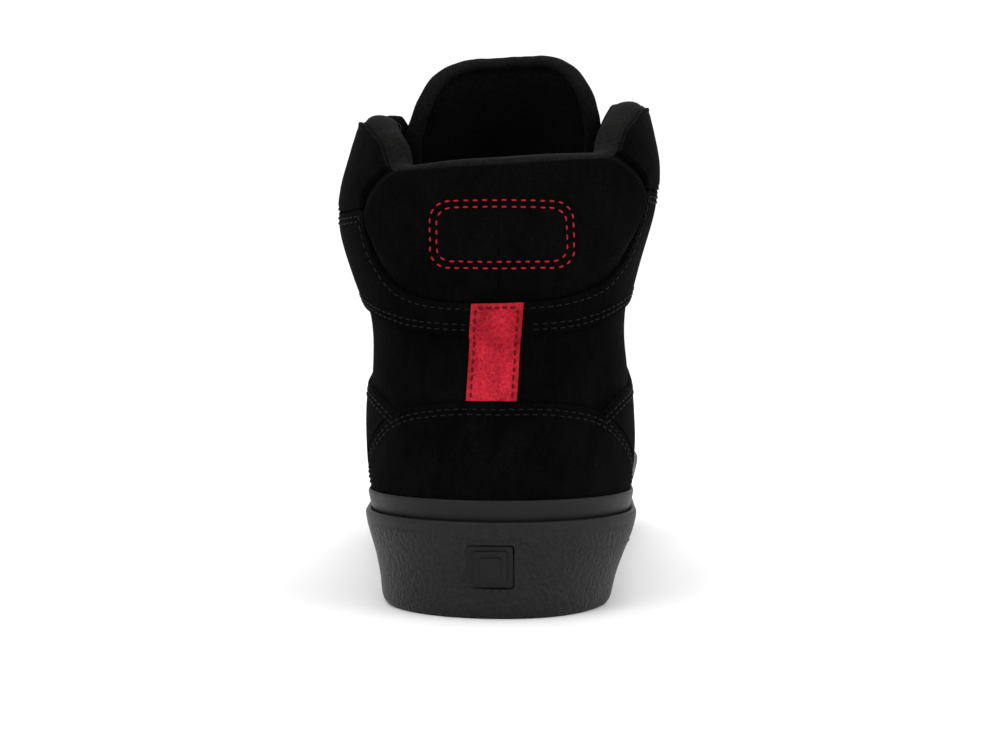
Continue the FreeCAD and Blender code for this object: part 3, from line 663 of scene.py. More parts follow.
def panel(name, region, inner, outer, nu, nv, r=0.45, materials=("suede_black", "suede_edge"),
          seed=0.0, rough=0.10, rag=0.12):
    """A cut panel laid on the form, with rounded cut edges.  inner and outer are offsets in mm, or
    functions of (theta, t, u, v).  The last material is for the cut edge."""
    lu, lv = lengths(region)
    us, vs = edge_steps(nu, lu, r), edge_steps(nv, lv, r)
    u, v = np.meshgrid(us, vs, indexing="ij")
    theta, t = region(u, v)

    def value(offset):
        return offset(theta, t, u, v) if callable(offset) else np.full(theta.shape, float(offset))
    low, high = value(inner), value(outer)
    base = skin(theta, t, 0 * low)
    n = normal(theta, t)
    du, dv = np.minimum(u, 1 - u) * lu, np.minimum(v, 1 - v) * lv
    drop = np.minimum(edge_drop(du, r) + edge_drop(dv, r), np.maximum(high - low - 0.15, 0.05))
    edge = smooth(1 - np.minimum(du, dv) / 3.0)
    high = high - drop + wobble(base, rough, 9.0, seed) * (1 - 0.5 * edge)
    high = np.maximum(high, low + 0.1)
    across = wobble(base, rag, 3.1, seed + 5) * edge
    up = unit(np.gradient(base, axis=1))
    outer_p = base + n * high[..., None] + up * (across * (np.minimum(dv, 3) < 3))[..., None]
    inner_p = base + n * low[..., None]
    verts, faces, slots = sheets(outer_p, inner_p, (0, 0, len(materials) - 1))
    return recalc(make_object(name, verts, faces, materials, slots))


def inset(curve, distance, n=400):
    """Points (theta, t) beside a curve, at a distance in mm to the left of its run seen from outside."""
    s = np.linspace(0, 1, n)
    theta, t = curve(s)
    p = skin(theta, t)
    along = unit(np.gradient(p, axis=0))
    side = np.cross(normal(theta, t), along)
    return shifted(theta, t, side * distance)


def shifted(theta, t, move):
    """(theta, t) moved by a vector in the surface."""
    e = 1e-3
    for _ in range(2):
        base = form(theta, t)
        a, b = (form(theta + e, t) - base) / e, (form(theta, t + e) - base) / e
        aa, ab, bb = (a * a).sum(-1), (a * b).sum(-1), (b * b).sum(-1)
        ma, mb = (a * move).sum(-1), (b * move).sum(-1)
        det = aa * bb - ab * ab
        dtheta, dt = (ma * bb - mb * ab) / det, (mb * aa - ma * ab) / det
        target = base + move
        theta, t = theta + dtheta, t + dt
        move = target - form(theta, t)
        move = move - normal(theta, t) * (move * normal(theta, t)).sum(-1, keepdims=True)
    return theta, t


def stitch_mesh(points, normals, pitch, length, radius, rng):
    """Verts and faces of a run of stitches: short fat threads that dip into the leather at their ends."""
    seg = np.linalg.norm(np.diff(points, axis=0), axis=1)
    s = np.concatenate([[0], np.cumsum(seg)])
    count = max(1, int(round(s[-1] / pitch)))
    verts, faces = [], []
    rings, sides = 7, 6
    for k in range(count):
        mid = (k + 0.5 + rng.uniform(-0.04, 0.04)) / count * s[-1]
        half = length / 2 * rng.uniform(0.92, 1.06)
        side_jog = rng.uniform(-0.05, 0.05)
        f = np.linspace(-1, 1, rings)
        at = np.clip(mid + f * half, 0, s[-1])
        p = np.stack([np.interp(at, s, points[:, c]) for c in range(3)], -1)
        n = unit(np.stack([np.interp(at, s, normals[:, c]) for c in range(3)], -1))
        along = unit(np.gradient(p, axis=0))
        side = np.cross(n, along)
        lift = radius * (0.55 - 1.1 * np.abs(f) ** 3)
        thick = radius * np.sqrt(np.clip(1 - np.abs(f) ** 4, 0.12, 1))
        centre = p + n * lift[:, None] + side * side_jog
        start = len(verts)
        for i in range(rings):
            for j in range(sides):
                a = 2 * math.pi * j / sides
                verts.append(centre[i] + (side[i] * math.cos(a) + n[i] * math.sin(a)) * thick[i])
        faces += [tuple(start + k for k in face) for face in ring_faces(rings, sides)]
        faces.append(tuple(start + j for j in range(sides))[::-1])
        faces.append(tuple(start + (rings - 1) * sides + j for j in range(sides)))
    return verts, faces


def surface_of(objects):
    """One search tree over the faces of several finished pieces."""
    verts, faces = [], []
    for obj in objects:
        start = len(verts)
        verts += [v.co.copy() for v in obj.data.vertices]
        faces += [tuple(i + start for i in p.vertices) for p in obj.data.polygons]
    return BVHTree.FromPolygons(verts, faces)


ABOVE, REACH = 7.0, 0.012                    # where the dropped lines start (mm), how far they go (m)


def on_surface(tree, theta, t):
    """Points (mm) where lines dropped on the shoe meet the pieces in the tree."""
    start = skin(theta, t, np.full(np.shape(theta), ABOVE))
    out = -normal(theta, t)
    depth = np.full(len(start), np.nan)
    for k, (p, d) in enumerate(zip(start, out)):
        hit = tree.ray_cast(Vector(p * 0.001), Vector(d), REACH)
        if hit[0] is not None:
            depth[k] = hit[3] * 1000
    known = ~np.isnan(depth)
    depth = np.interp(np.arange(len(depth)), np.flatnonzero(known), depth[known])
    return start + out * depth[:, None]


def stitches(name, rows, material, onto, pitch, length, radius, slot="suede_black"):
    """rows are pairs of arrays (theta, t) that the thread follows over the pieces in onto."""
    rng = np.random.default_rng(sum(map(ord, name)))
    tree = surface_of(onto)
    verts, faces = [], []
    for theta, t in rows:
        v, f = stitch_mesh(on_surface(tree, theta, t), normal(theta, t), pitch, length, radius, rng)
        faces += [tuple(i + len(verts) for i in face) for face in f]
        verts += v
    obj = make_object(name, verts, faces, [material])
    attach(obj, "shoe")


# pitch, length and radius of the stitches, mm
BLACK_STITCH, FRAME_STITCH, STRIP_STITCH = (2.7, 1.9, 0.24), (2.72, 1.65, 0.27), (2.4, 1.7, 0.3)
OVERLAYS = []                                # finished suede overlays, which the stitches lie on


def place(obj, node, body="shoe", slot=None):
    if body:
        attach(obj, body)
    for n in ([node] if isinstance(node, str) else node or []):
        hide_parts(n)
    return obj


# ================================================================ sole
def outline(theta, offset, z, t=0.6):
    p = form(theta, t)
    out = np.stack([form(theta + 0.004, t)[..., 1] - form(theta - 0.004, t)[..., 1],
                    form(theta - 0.004, t)[..., 0] - form(theta + 0.004, t)[..., 0],
                    0 * np.asarray(theta, float)], -1)
    q = p + unit(out) * np.asarray(offset)[..., None]
    return np.stack([q[..., 0] - MID_X, q[..., 1] - MID_Y, z + spring(q[..., 1])], -1)


def level_at(theta, z):
    """Level of the form where its height above the sole's curve is z."""
    lo, hi = np.full(np.shape(theta), -0.9), np.full(np.shape(theta), 4.0)
    for _ in range(30):
        mid = (lo + hi) / 2
        p = form(theta, mid, False)
        low = p[..., 2] - spring(p[..., 1]) < z
        lo, hi = np.where(low, mid, lo), np.where(low, hi, mid)
    return lo


def loop_angles(n):
    return -math.pi + 2 * math.pi * np.arange(n) / n


def spline_rows(points, n):
    """Smooth rows through a profile of (offset, z), evenly spaced."""
    curve = through([(p[0] / 3, p[1]) for p in points])
    a, b = curve(np.linspace(0, 1, n))
    return list(zip(a * 3, b))


def boolean(obj, cutter_verts, cutter_faces, name):
    mesh = bpy.data.meshes.new(name)
    mesh.from_pydata((np.asarray(cutter_verts) * 0.001).tolist(), [], cutter_faces)
    cutter = bpy.data.objects.new(name, mesh)
    bpy.context.scene.collection.objects.link(cutter)
    recalc(cutter)
    mod = obj.modifiers.new(name, "BOOLEAN")
    mod.operation, mod.solver, mod.object = "DIFFERENCE", "MANIFOLD", cutter
    bpy.context.view_layer.update()
    baked = bpy.data.meshes.new_from_object(obj.evaluated_get(bpy.context.evaluated_depsgraph_get()))
    obj.modifiers.clear()
    obj.data = baked
    bpy.data.objects.remove(cutter)
    return obj


def prism(loop, low, high):
    n = len(loop)
    verts = [(*p, low(p)) for p in loop] + [(*p, high(p)) for p in loop]
    return verts, [tuple(range(n))[::-1], tuple(range(n, 2 * n))] + ring_faces(2, n)


def merged(parts):
    verts, faces = [], []
    for v, f in parts:
        faces += [tuple(i + len(verts) for i in face) for face in f]
        verts += list(v)
    return verts, faces


WALL = [(-1.75, 0.15), (-1.0, 0.95), (-0.45, 2.2), (-0.1, 4.2), (0.3, 8.0), (0.95, 12.0), (2.0, 16.5),
        (3.2, 20.7), (4.15, 24.2), (4.62, 26.5)]


LOOP = 300                                   # points round the cup and the band
BADGE_Z, BADGE_TILT = 15.5, math.radians(103.0)
POCKET_X, POCKET_Z, POCKET_CORNER = 7.0, 6.7, 1.2
POCKET_STEPS = ((-0.6, 0.97), (-0.3, 0.985), (0.2, 1.0), (6.0, 1.12))      # out from the wall, scale
GROOVE_PITCH, GROOVE_WIDE, GROOVE_DEEP, BELOW = 9, 2.2, 1.8, -6.0
GROOVE_STARTS = ((16, 8), (150, 3), (246, 4))                             # first groove, how many
PIVOT_Y, PIVOT_RADII, PIVOT_STEPS = 208, (6, 14, 22, 30), 72


def build_cup():
    theta = loop_angles(LOOP)
    profile = [(-2.1, 0.0)] + spline_rows(WALL, 40)
    profile += [(4.7, 27.2), (4.7, 27.8), (4.6, 28.15), (4.35, 28.45), (4.0, 28.6), (3.4, 28.6),
                (2.95, 28.45), (2.72, 28.1), (2.7, 26.0), (2.7, 19.0), (-3.6, 18.2), (-3.6, 6.0)]
    wall_end, inside = 47, 50                # rows of the profile where the lip turns in
    waist = 2.6 * smooth((theta - 0.1) / 0.5) * (1 - smooth((theta - 1.7) / 0.7))
    rows = []
    for k, (offset, z) in enumerate(profile):
        p = outline(theta, offset - waist * (1 - smooth(z / 24)) * (k < inside), z)
        if k < wall_end:
            p = p + unit(p * [1, 1, 0]) * wobble(p, 0.10, 16.0, 3.0)[:, None]
        rows.append(p)
    verts = list(np.concatenate(rows))
    faces = ring_faces(len(rows), LOOP)
    for which in (0, len(rows) - 1):
        def step(left, right, c, z=profile[which][1]):
            p = left + (right - left) * c / 13
            return np.array([p[0], p[1], spring(p[1] + MID_Y) + z])
        ladder_cap(verts, faces, rows[which], which * LOOP, 13, step)
    cup = recalc(make_object("outsole_cup_rubber", verts, faces, ["cup_rubber"]))
    boolean(cup, *badge_pocket(), "badge_pocket")
    boolean(cup, *merged(tread_grooves() + [pivot_ring(r) for r in PIVOT_RADII]), "tread_cut")
    sharpen(cup, 38)
    place(cup, "outsole_cup", slot="outsole_rubber")


def tread_grooves():
    rim = outline(loop_angles(400), np.full(400, -9.0), 0.0)
    half = GROOVE_WIDE / 2
    parts = []
    for y in [start + GROOVE_PITCH * k for start, count in GROOVE_STARTS for k in range(count)]:
        row = y - MID_Y
        near = rim[np.abs(rim[:, 1] - row - half) < 3]
        left, right = near[:, 0].min(), near[:, 0].max()
        loop = [(left, row), (right, row), (right, row + GROOVE_WIDE), (left, row + GROOVE_WIDE)]
        depth = GROOVE_DEEP + spring(y + half)
        parts.append(prism(loop, lambda p: BELOW, lambda p, d=depth: d))
    return parts


def pivot_ring(radius):
    verts, faces = [], []
    for j in range(PIVOT_STEPS):
        a = 2 * math.pi * j / PIVOT_STEPS
        for r in (radius - 1.1, radius + 1.1):
            x, y = r * math.cos(a), PIVOT_Y - MID_Y + r * math.sin(a)
            verts += [(x, y, BELOW), (x, y, GROOVE_DEEP + spring(y + MID_Y))]
        a, b = 4 * j, 4 * ((j + 1) % PIVOT_STEPS)
        faces += [(a, b, b + 1, a + 1), (a + 2, a + 3, b + 3, b + 2), (a, a + 2, b + 2, b),
                  (a + 1, b + 1, b + 3, a + 3)]
    return verts, faces


def badge_pocket():
    """The square recess in the heel of the cup, tilted with the wall."""
    back = float(outline(np.array(0.0), np.array(1.5), 0.0)[1])
    lean, rise = math.cos(BADGE_TILT), math.sin(BADGE_TILT)
    loop = []
    for cx, cz, a0 in ((1, 1, 0), (-1, 1, 90), (-1, -1, 180), (1, -1, 270)):
        for k in range(6):
            a = math.radians(a0 + 18 * k)
            loop.append((cx * (POCKET_X - POCKET_CORNER) + POCKET_CORNER * math.cos(a),
                         cz * (POCKET_Z - POCKET_CORNER) + POCKET_CORNER * math.sin(a)))
    verts = [(x * scale, back + z * scale * lean - out * rise, BADGE_Z + z * scale * rise + out * lean)
             for out, scale in POCKET_STEPS for x, z in loop]
    return verts, rod_faces(len(POCKET_STEPS), len(loop))


def build_band():
    theta = loop_angles(LOOP)
    profile = [(2.3, 24.0), (2.35, 28.2), (2.45, 29.0), (2.52, 30.0), (2.55, 31.5), (2.58, 33.0),
               (2.56, 34.0), (2.48, 34.5), (2.3, 34.85), (2.0, 35.0), (1.7, 34.95), (1.5, 34.7),
               (1.42, 34.2), (1.42, 24.0)]
    rows = []
    for offset, z in profile:
        p = skin(theta, level_at(theta, z), np.full(LOOP, offset))
        rows.append(p + unit(p * [1, 1, 0]) * wobble(p, 0.08, 14.0, 9.0)[:, None])
    faces = ring_faces(len(rows), LOOP, close=True)
    band = recalc(make_object("foxing_band_rubber", np.concatenate(rows), faces, ["band_rubber"]))
    place(band, "foxing_band", slot="band_rubber")


def build_footbed():
    n, columns = 120, 17
    theta = loop_angles(n)
    profile = [(-5.1, 19.9), (-4.9, 22.5), (-4.6, 25.5), (-5.2, 26.0), (-7.0, 24.6)]
    rows = [skin(theta, level_at(theta, z), np.full(n, offset)) for offset, z in profile]
    verts = list(np.concatenate(rows))
    faces = ring_faces(len(rows), n)

    def flat(left, right, c):
        return left + (right - left) * (c / columns)

    def dished(left, right, c):
        p = left + (right - left) * (c / columns)
        arch = math.exp(-((p[1] + 30) / 38) ** 2) * max(0.0, p[0] / 30) ** 2 * 2.0
        return p + np.array([0, 0, -0.8 * math.sin(math.pi * c / columns) ** 0.6 + arch])
    ladder_cap(verts, faces, rows[0], 0, columns, flat)
    ladder_cap(verts, faces, rows[-1], (len(rows) - 1) * n, columns, dished)
    obj = recalc(make_object("footbed_cushion", verts, faces, ["sock"]))
    place(obj, "footbed", slot="footbed_foam")


# ================================================================ upper
def foam_depth(theta, t):
    """The collar's foam: it fills out above the heel's cup, and thins out towards the eyestays."""
    rise = smooth((t - 4.2) / 2.2)
    reach = 1 - smooth((np.abs(theta) - 1.3) / 0.42)
    return COLLAR_FOAM * rise * reach


def lining_face(theta, t):
    heel = (COUNTER + AIR) * (1 - smooth((np.abs(theta) - 0.95) / 0.3)) * (1 - smooth((t - 4.1) / 0.5))
    return -(BASE + AIR + heel + foam_depth(theta, t))


def quarter_region():
    low = line((0.005, FEATHER), (0.9, FEATHER), SEAM(0.0))
    back = line((0.005, FEATHER), (0.005, 4), (0.005, float(TOPLINE(0.0)[1])))
    return coons(low, TOPLINE, back, FRONT_EDGE)


def toe_region(side, throat_drop):
    start, end = side(0.0), side(1.0)
    low = around_toe(line(start, ((start[0] + math.pi) / 2, FEATHER), (math.pi, FEATHER)))
    high = around_toe(line(end, (3.0, end[1] - throat_drop * 0.8), (math.pi, end[1] - throat_drop)))

    def left(v):
        a, b = side(v)
        return -a, b

    def right(v):
        a, b = side(v)
        return a - 2 * math.pi, b
    return coons(low, high, left, right)


def dip(distance, depth=0.28, width=0.55):
    """Dent along a stitch row, at a distance from an edge."""
    return lambda d: -depth * np.exp(-((d - distance) / width) ** 2)


def overlay(edges, thick=SUEDE, width=0, height=0):
    """Outer offset of an overlay with dents along its stitch rows.  edges maps an edge of the region
    (u0, u1, v0, v1) to the rows' distances in mm."""
    def at(theta, t, u, v):
        value = np.full(theta.shape, OUT + thick)
        for edge, rows in edges.items():
            d = {"u0": u * width, "u1": (1 - u) * width, "v0": v * height, "v1": (1 - v) * height}[edge]
            for row in rows:
                value = value + dip(row)(d)
            value = value + 0.12 * smooth((d - 3.5) / 5.0)
        return value
    return at


def build_base():
    quarter = quarter_region()
    for side, sign in (("medial", 1), ("lateral", -1)):
        region = signed(quarter, sign)
        obj = panel("quarter_" + side + "_suede", region, -BASE,
                    lambda a, b, u, v: wobble(skin(a, b, 0 * a), 0.16, 13.0, 2.0), 90, 80, seed=sign)
        drill_eyelets(obj, sign)
        place(obj, "quarter_" + side, slot="suede_black")
    vamp = toe_region(shy(SEAM, 0.010), 0.2)
    obj = panel("vamp_suede", vamp, -BASE, 0.0, 110, 50, seed=4)
    perforate(obj)
    place(obj, "vamp", slot="suede_black")

    def toe_room(a, b, u, v):
        near = smooth((np.abs(a) - 2.45) / 0.2) * (1 - smooth((b - 2.7) / 0.4))
        return -BASE - AIR - 1.3 * near
    obj = panel("vamp_lining_cloth", vamp, lambda a, b, u, v: toe_room(a, b, u, v) - LINING, toe_room,
                60, 30, materials=("lining", "lining"), rough=0.05, rag=0.0)
    place(obj, "vamp_lining", slot="lining_textile")


def hole(theta, t, across, radius, above, below, n):
    """A round cutter standing on the form; across is any direction that isn't the cutter's own."""
    p, out = skin(theta, t), normal(theta, t)
    side = unit(np.cross(out, np.array(across)))
    up = np.cross(side, out)
    circle = [side * math.cos(2 * math.pi * j / n) + up * math.sin(2 * math.pi * j / n) for j in range(n)]
    verts = [p + c * radius + out * above for c in circle] + [p + c * radius - out * below for c in circle]
    return verts, rod_faces(2, n)


def perforate(obj):
    """The toe's vent holes: five rows of seven, without the corners."""
    places = [(math.pi - k * 0.105 * (1 + 0.12 * row), 4.12 - 0.215 * row)
              for k in range(-3, 4) for row in range(5) if not (abs(k) == 3 and row in (0, 4))]
    cutters = [hole(theta, t, (0.0, 1.0, 0.0), 1.0, 2.5, 3.0, 14) for theta, t in places]
    boolean(obj, *merged(cutters), "vents")
    sharpen(obj)


def sharpen(obj, angle=40):
    obj.data.shade_smooth()
    obj.data.set_sharp_from_angle(angle=math.radians(angle))


def eyelet_place(row, sign):
    u = 0.1 + 0.84 * row / (EYELET_ROWS - 1)
    a, b = EDGE(1 - u), EYESTAY_OUT(u)
    return sign * float(a[0] + (b[0] - a[0]) * 0.42), float(a[1] + (b[1] - a[1]) * 0.42)


def drill_eyelets(obj, sign):
    cutters = [hole(*eyelet_place(row, sign), (0.0, 0.0, 1.0), EYELET_HOLE, 5, 6, 28)
               for row in range(EYELET_ROWS)]
    boolean(obj, *merged(cutters), "eyelet_cut")
    sharpen(obj)


def lay(node, region, rows, nu, nv, seed, size=None, thick=SUEDE, holes=0):
    """One overlay of the upper; rows are its stitch rows, and holes the side to drill eyelets on."""
    obj = panel(node + "_suede", region, OUT, overlay(rows, thick, *(size or lengths(region))), nu, nv,
                seed=seed)
    if holes:
        drill_eyelets(obj, holes)
    OVERLAYS.append(place(obj, node, slot="suede_black"))


def build_overlays():
    arch_end = ARCH(1.0)
    foot = by_side(52, 19)
    low = both_sides(line((0, FEATHER), (foot[0] - 0.02, FEATHER)))
    side = line((foot[0] - 0.02, FEATHER), arch_end)
    region = coons(low, both_sides(ARCH), mirrored(side), side)
    lay("heel_overlay", region, {"v1": (1.9, 3.4)}, 130, 44, 11)

    saddle_back = joined(line((foot[0], FEATHER), arch_end), turned(part_of(ARCH, curve_at(ARCH, 0.44), 1.0)))
    saddle_back = shy(saddle_back, 0.006, 0.004)
    start = saddle_back(1.0)
    saddle_top = line(start, *[SADDLE(k / 8) for k in range(1, 9)])
    toe_line = shy(REAR_TOE, -0.006)
    saddle = coons(line(saddle_back(0.0), toe_line(0.0)), saddle_top, saddle_back, toe_line)

    high = joined(U_LINE, STRAP_HIGH)
    strap = coons(STRAP_LOW, high, line(STRAP_LOW(0.0), U_LINE(0.0)), line(STRAP_LOW(1.0), STRAP_HIGH(1.0)))

    def strap_region(u, v):
        a, b = strap(u, v)
        return np.maximum(a, 0.007), b
    wing_low = shy(STRAP_HIGH, 0.004, 0.03)
    wing_back = line(wing_low(0.0), *[(U_SIDE(k / 3)[0] + 0.03, U_SIDE(k / 3)[1] + 0.02) for k in (1, 2)],
                     level_on(TOPLINE, 0.672))
    wing_top = part_of(TOPLINE, curve_at(TOPLINE, 0.672), curve_at(TOPLINE, float(EYESTAY_OUT(1.0)[0])))
    wing = coons(wing_low, wing_top, wing_back, line(wing_low(1.0), wing_top(1.0)))

    eye_back = shy(EYESTAY_OUT, 0.008)
    eyestay = coons(line(eye_back(0.0), SEAM(0.72), SEAM(0.88), shy(EDGE, -0.004)(1.0)),
                    line(eye_back(1.0), EDGE(0.0)), eye_back, turned(EDGE))
    size = {k: lengths(r) for k, r in (("saddle", saddle), ("strap", strap_region), ("wing", wing),
                                       ("eyestay", eyestay))}
    for name, sign in (("medial", 1), ("lateral", -1)):
        back, front = ("u0", "u1") if sign > 0 else ("u1", "u0")
        lay("saddle_" + name, signed(saddle, sign), {"v1": (1.8, 3.3)}, 70, 34, 20 + sign, size["saddle"])
        lay("ankle_strap_" + name, signed(strap_region, sign), {"v0": (1.4, 3.0), "v1": (1.7,)}, 100, 26,
            30 + sign, size["strap"])
        lay("collar_wing_" + name, signed(wing, sign), {"v1": (2.2,), "v0": (1.0,)}, 44, 26, 40 + sign,
            size["wing"], SUEDE + 0.3)
        lay("eyestay_" + name, signed(eyestay, sign), {back: (1.8, 3.2), front: (1.6,), "v1": (1.8,)}, 30, 90,
            50 + sign, size["eyestay"], holes=sign)

    guard = shy(MUDGUARD, 0.006)
    low = around_toe(line((shy(REAR_TOE, 0.006)(0.0)[0], FEATHER), (2.3, FEATHER), (math.pi, FEATHER)))
    mudguard = between(low, around_toe(guard))
    lay("mudguard", mudguard, {"v1": (1.8, 3.3)}, 150, 44, 60, thick=SUEDE + 0.15)
    return saddle_top


RECT_X, RECT_Z, RECT_HALF_X, RECT_HALF_Z, RECT_CORNER = 0.4, 110.4, 19.75, 9.15, 5.1
RECT_BOW, ROW_GAP = 0.45, 1.85


def rectangle(shrink, n=26):
    """The stitched frame on the collar's back: (x, z) round a rectangle with round corners."""
    hx, hz, r = RECT_HALF_X - shrink, RECT_HALF_Z - shrink, RECT_CORNER - shrink * 0.6
    points = []
    for cx, cz, a0 in ((1, 1, 0), (-1, 1, 90), (-1, -1, 180), (1, -1, 270)):
        for k in range(n):
            a = math.radians(a0 + 90 * k / (n - 1))
            x = cx * (hx - r) + r * math.cos(a)
            z = cz * (hz - r) + r * math.sin(a)
            bow = RECT_BOW * (1 - (x / hx) ** 2)
            points.append((RECT_X + x, RECT_Z + z + bow * (1 if z > 0 else -1)))
    points.append(points[0])
    runs = []
    for a, b in zip(points, points[1:]):
        steps = max(1, round(math.dist(a, b) / 1.5))
        for k in range(steps):
            f = k / steps
            x = a[0] + (b[0] - a[0]) * f
            z = a[1] + (b[1] - a[1]) * f
            if steps > 1 and abs(z - RECT_Z) > hz * 0.7:
                bow = RECT_BOW * (1 - ((x - RECT_X) / hx) ** 2)
                z = RECT_Z + math.copysign(hz + bow, z - RECT_Z)
            runs.append((x, z))
    return runs + [points[0]]


def rect_distance(x, z):
    """Signed distance (mm) outside the outer stitch row, seen flat."""
    bow = RECT_BOW * np.maximum(0, 1 - ((x - RECT_X) / RECT_HALF_X) ** 2)
    dx = np.abs(x - RECT_X) - (RECT_HALF_X - RECT_CORNER)
    dz = np.abs(z - RECT_Z) - bow - (RECT_HALF_Z - RECT_CORNER)
    outside = np.hypot(np.maximum(dx, 0), np.maximum(dz, 0))
    return outside + np.minimum(np.maximum(dx, dz), 0) - RECT_CORNER


def u_offset(theta, t, u, v, width, height):
    """The padded back panel: pulled down at its seam, full in the middle, quilted by the stitched frame."""
    p = form(theta, t)
    d_low = v * height
    d_top = (1 - v) * height
    d_side = np.minimum(u, 1 - u) * width
    seam = np.minimum(d_low, d_side + 1.5)
    value = 0.55 + 2.1 * smooth(seam / 8.0) - 0.5 * (1 - smooth(d_top / 5.0))
    far = rect_distance(p[..., 0], p[..., 2])
    value = value - 0.75 * np.exp(-(far / 0.9) ** 2) - 0.75 * np.exp(-((far + 1.8) / 0.9) ** 2)
    value = value - 0.25 * np.exp(-((far + 0.9) / 0.8) ** 2)
    return value + 0.45 * smooth(-(far + 2.0) / 4.0)


def build_back_panel():
    low = both_sides(shy(U_LINE, -0.010, 0.014))
    high = both_sides(part_of(TOPLINE, 0, curve_at(TOPLINE, 0.630)))
    side = line(low(1.0), *[(U_SIDE(k / 3)[0] - 0.010, U_SIDE(k / 3)[1]) for k in (1, 2)], high(1.0))
    region = coons(low, high, mirrored(side), side)
    w, h = lengths(region)
    # The back panel's darker suede is painted shade of the inset panel.
    obj = panel("collar_back_pad", region, OUT, lambda a, b, u, v: u_offset(a, b, u, v, w, h), 230, 110,
                r=0.8, materials=("suede_black_painted_shade", "suede_black_painted_shade"), seed=70, rough=0.22)
    place(obj, "collar_back_panel", slot="suede_black")
    rows = [np.array([on_back(x, z) for x, z in rectangle(shrink)]).T for shrink in (0.0, ROW_GAP)]
    stitches("frame_stitch_red", rows, "thread_red", [obj], *FRAME_STITCH, "suede_red")


STRIP_HALF, STRIP_X, STRIP_LEAN = 7.15, -2.3, 1.6       # half width, foot's middle, drift to its top
STRIP_Z, STRIP_RISE = 62.8, 28.0


def build_strip():
    def strip(u, v):
        u, v = np.broadcast_arrays(np.asarray(u, float), np.asarray(v, float))
        return tuple(bilinear(table, u, v) for table in STRIP_MAP)

    def face(theta, t, u, v):
        seam = (np.minimum(u, 1 - u) * 14.6 - 1.3) / 0.5
        return strip_low(theta, t, u, v) + 1.1 + 0.12 * np.sin(np.pi * u) - 0.25 * np.exp(-seam ** 2)
    obj = panel("heel_strip_suede", strip, strip_low, face, 26, 46, r=0.4,
                materials=("suede_red", "suede_red_edge"), seed=80)
    place(obj, "heel_strip", slot="suede_red")
    s = np.linspace(0, 1, 60)
    rows = [strip(np.full(60, u), 0.02 + 0.93 * s) for u in (0.095, 0.905)]
    rows.append(strip(0.13 + 0.74 * s, np.full(60, 0.95)))
    # The strip's stitches take the darker red thread, whose darkness is painted shade.
    stitches("strip_stitch_red", rows, "thread_red_painted_shade", [obj], *STRIP_STITCH, "suede_red")


def strip_low(theta, t, u, v):
    return OUT + (SUEDE + AIR) * smooth((t - level_on(STRAP_LOW, 0.1)[1] + 0.12) / 0.1)


def strip_map():
    us, vs = np.linspace(0, 1, 9), np.linspace(0, 1, 13)
    theta, t = np.zeros((9, 13)), np.zeros((9, 13))
    for i, u in enumerate(us):
        for j, v in enumerate(vs):
            x = STRIP_HALF * (2 * u - 1) + STRIP_X + STRIP_LEAN * v
            a, b = by_x(abs(x) + 1e-3, STRIP_Z + STRIP_RISE * v)
            theta[i, j], t[i, j] = math.copysign(a, x), b
    return theta, t


def bilinear(table, u, v):
    n, m = table.shape
    a, b = np.clip(u, 0, 1) * (n - 1), np.clip(v, 0, 1) * (m - 1)
    i, j = np.minimum(a.astype(int), n - 2), np.minimum(b.astype(int), m - 2)
    f, g = a - i, b - j
    return (table[i, j] * (1 - f) * (1 - g) + table[i + 1, j] * f * (1 - g)
            + table[i, j + 1] * (1 - f) * g + table[i + 1, j + 1] * f * g)


def build_black_stitches(saddle_top):
    rows = {"heel": [], "strap": [], "saddle": [], "eyestay": [], "toe": []}

    def add(group, curve, distances, both=True, trim=(0.0, 1.0)):
        for d in distances:
            for sign in ((1, -1) if both else (1,)):
                rows[group].append(inset(side_curve(part_of(curve, *trim), sign), d * sign))
    add("heel", both_sides(ARCH), (-1.9, -3.4), False)
    add("strap", STRAP_LOW, (1.4, 3.0), trim=(0.065, 0.985))
    add("strap", U_LINE, (-1.7,))
    add("strap", STRAP_HIGH, (-1.7, -3.2), trim=(0.02, 0.98))
    add("saddle", saddle_top, (-1.8, -3.3), trim=(0.0, 0.99))
    add("eyestay", EYESTAY_OUT, (-1.8, -3.2), trim=(0.02, 0.98))
    add("eyestay", turned(EDGE), (1.6,), trim=(0.02, 0.98))
    add("toe", MUDGUARD, (-1.8, -3.3))
    for group, data in rows.items():
        stitches(group + "_stitch_black", data, "thread_black", OVERLAYS, *BLACK_STITCH)


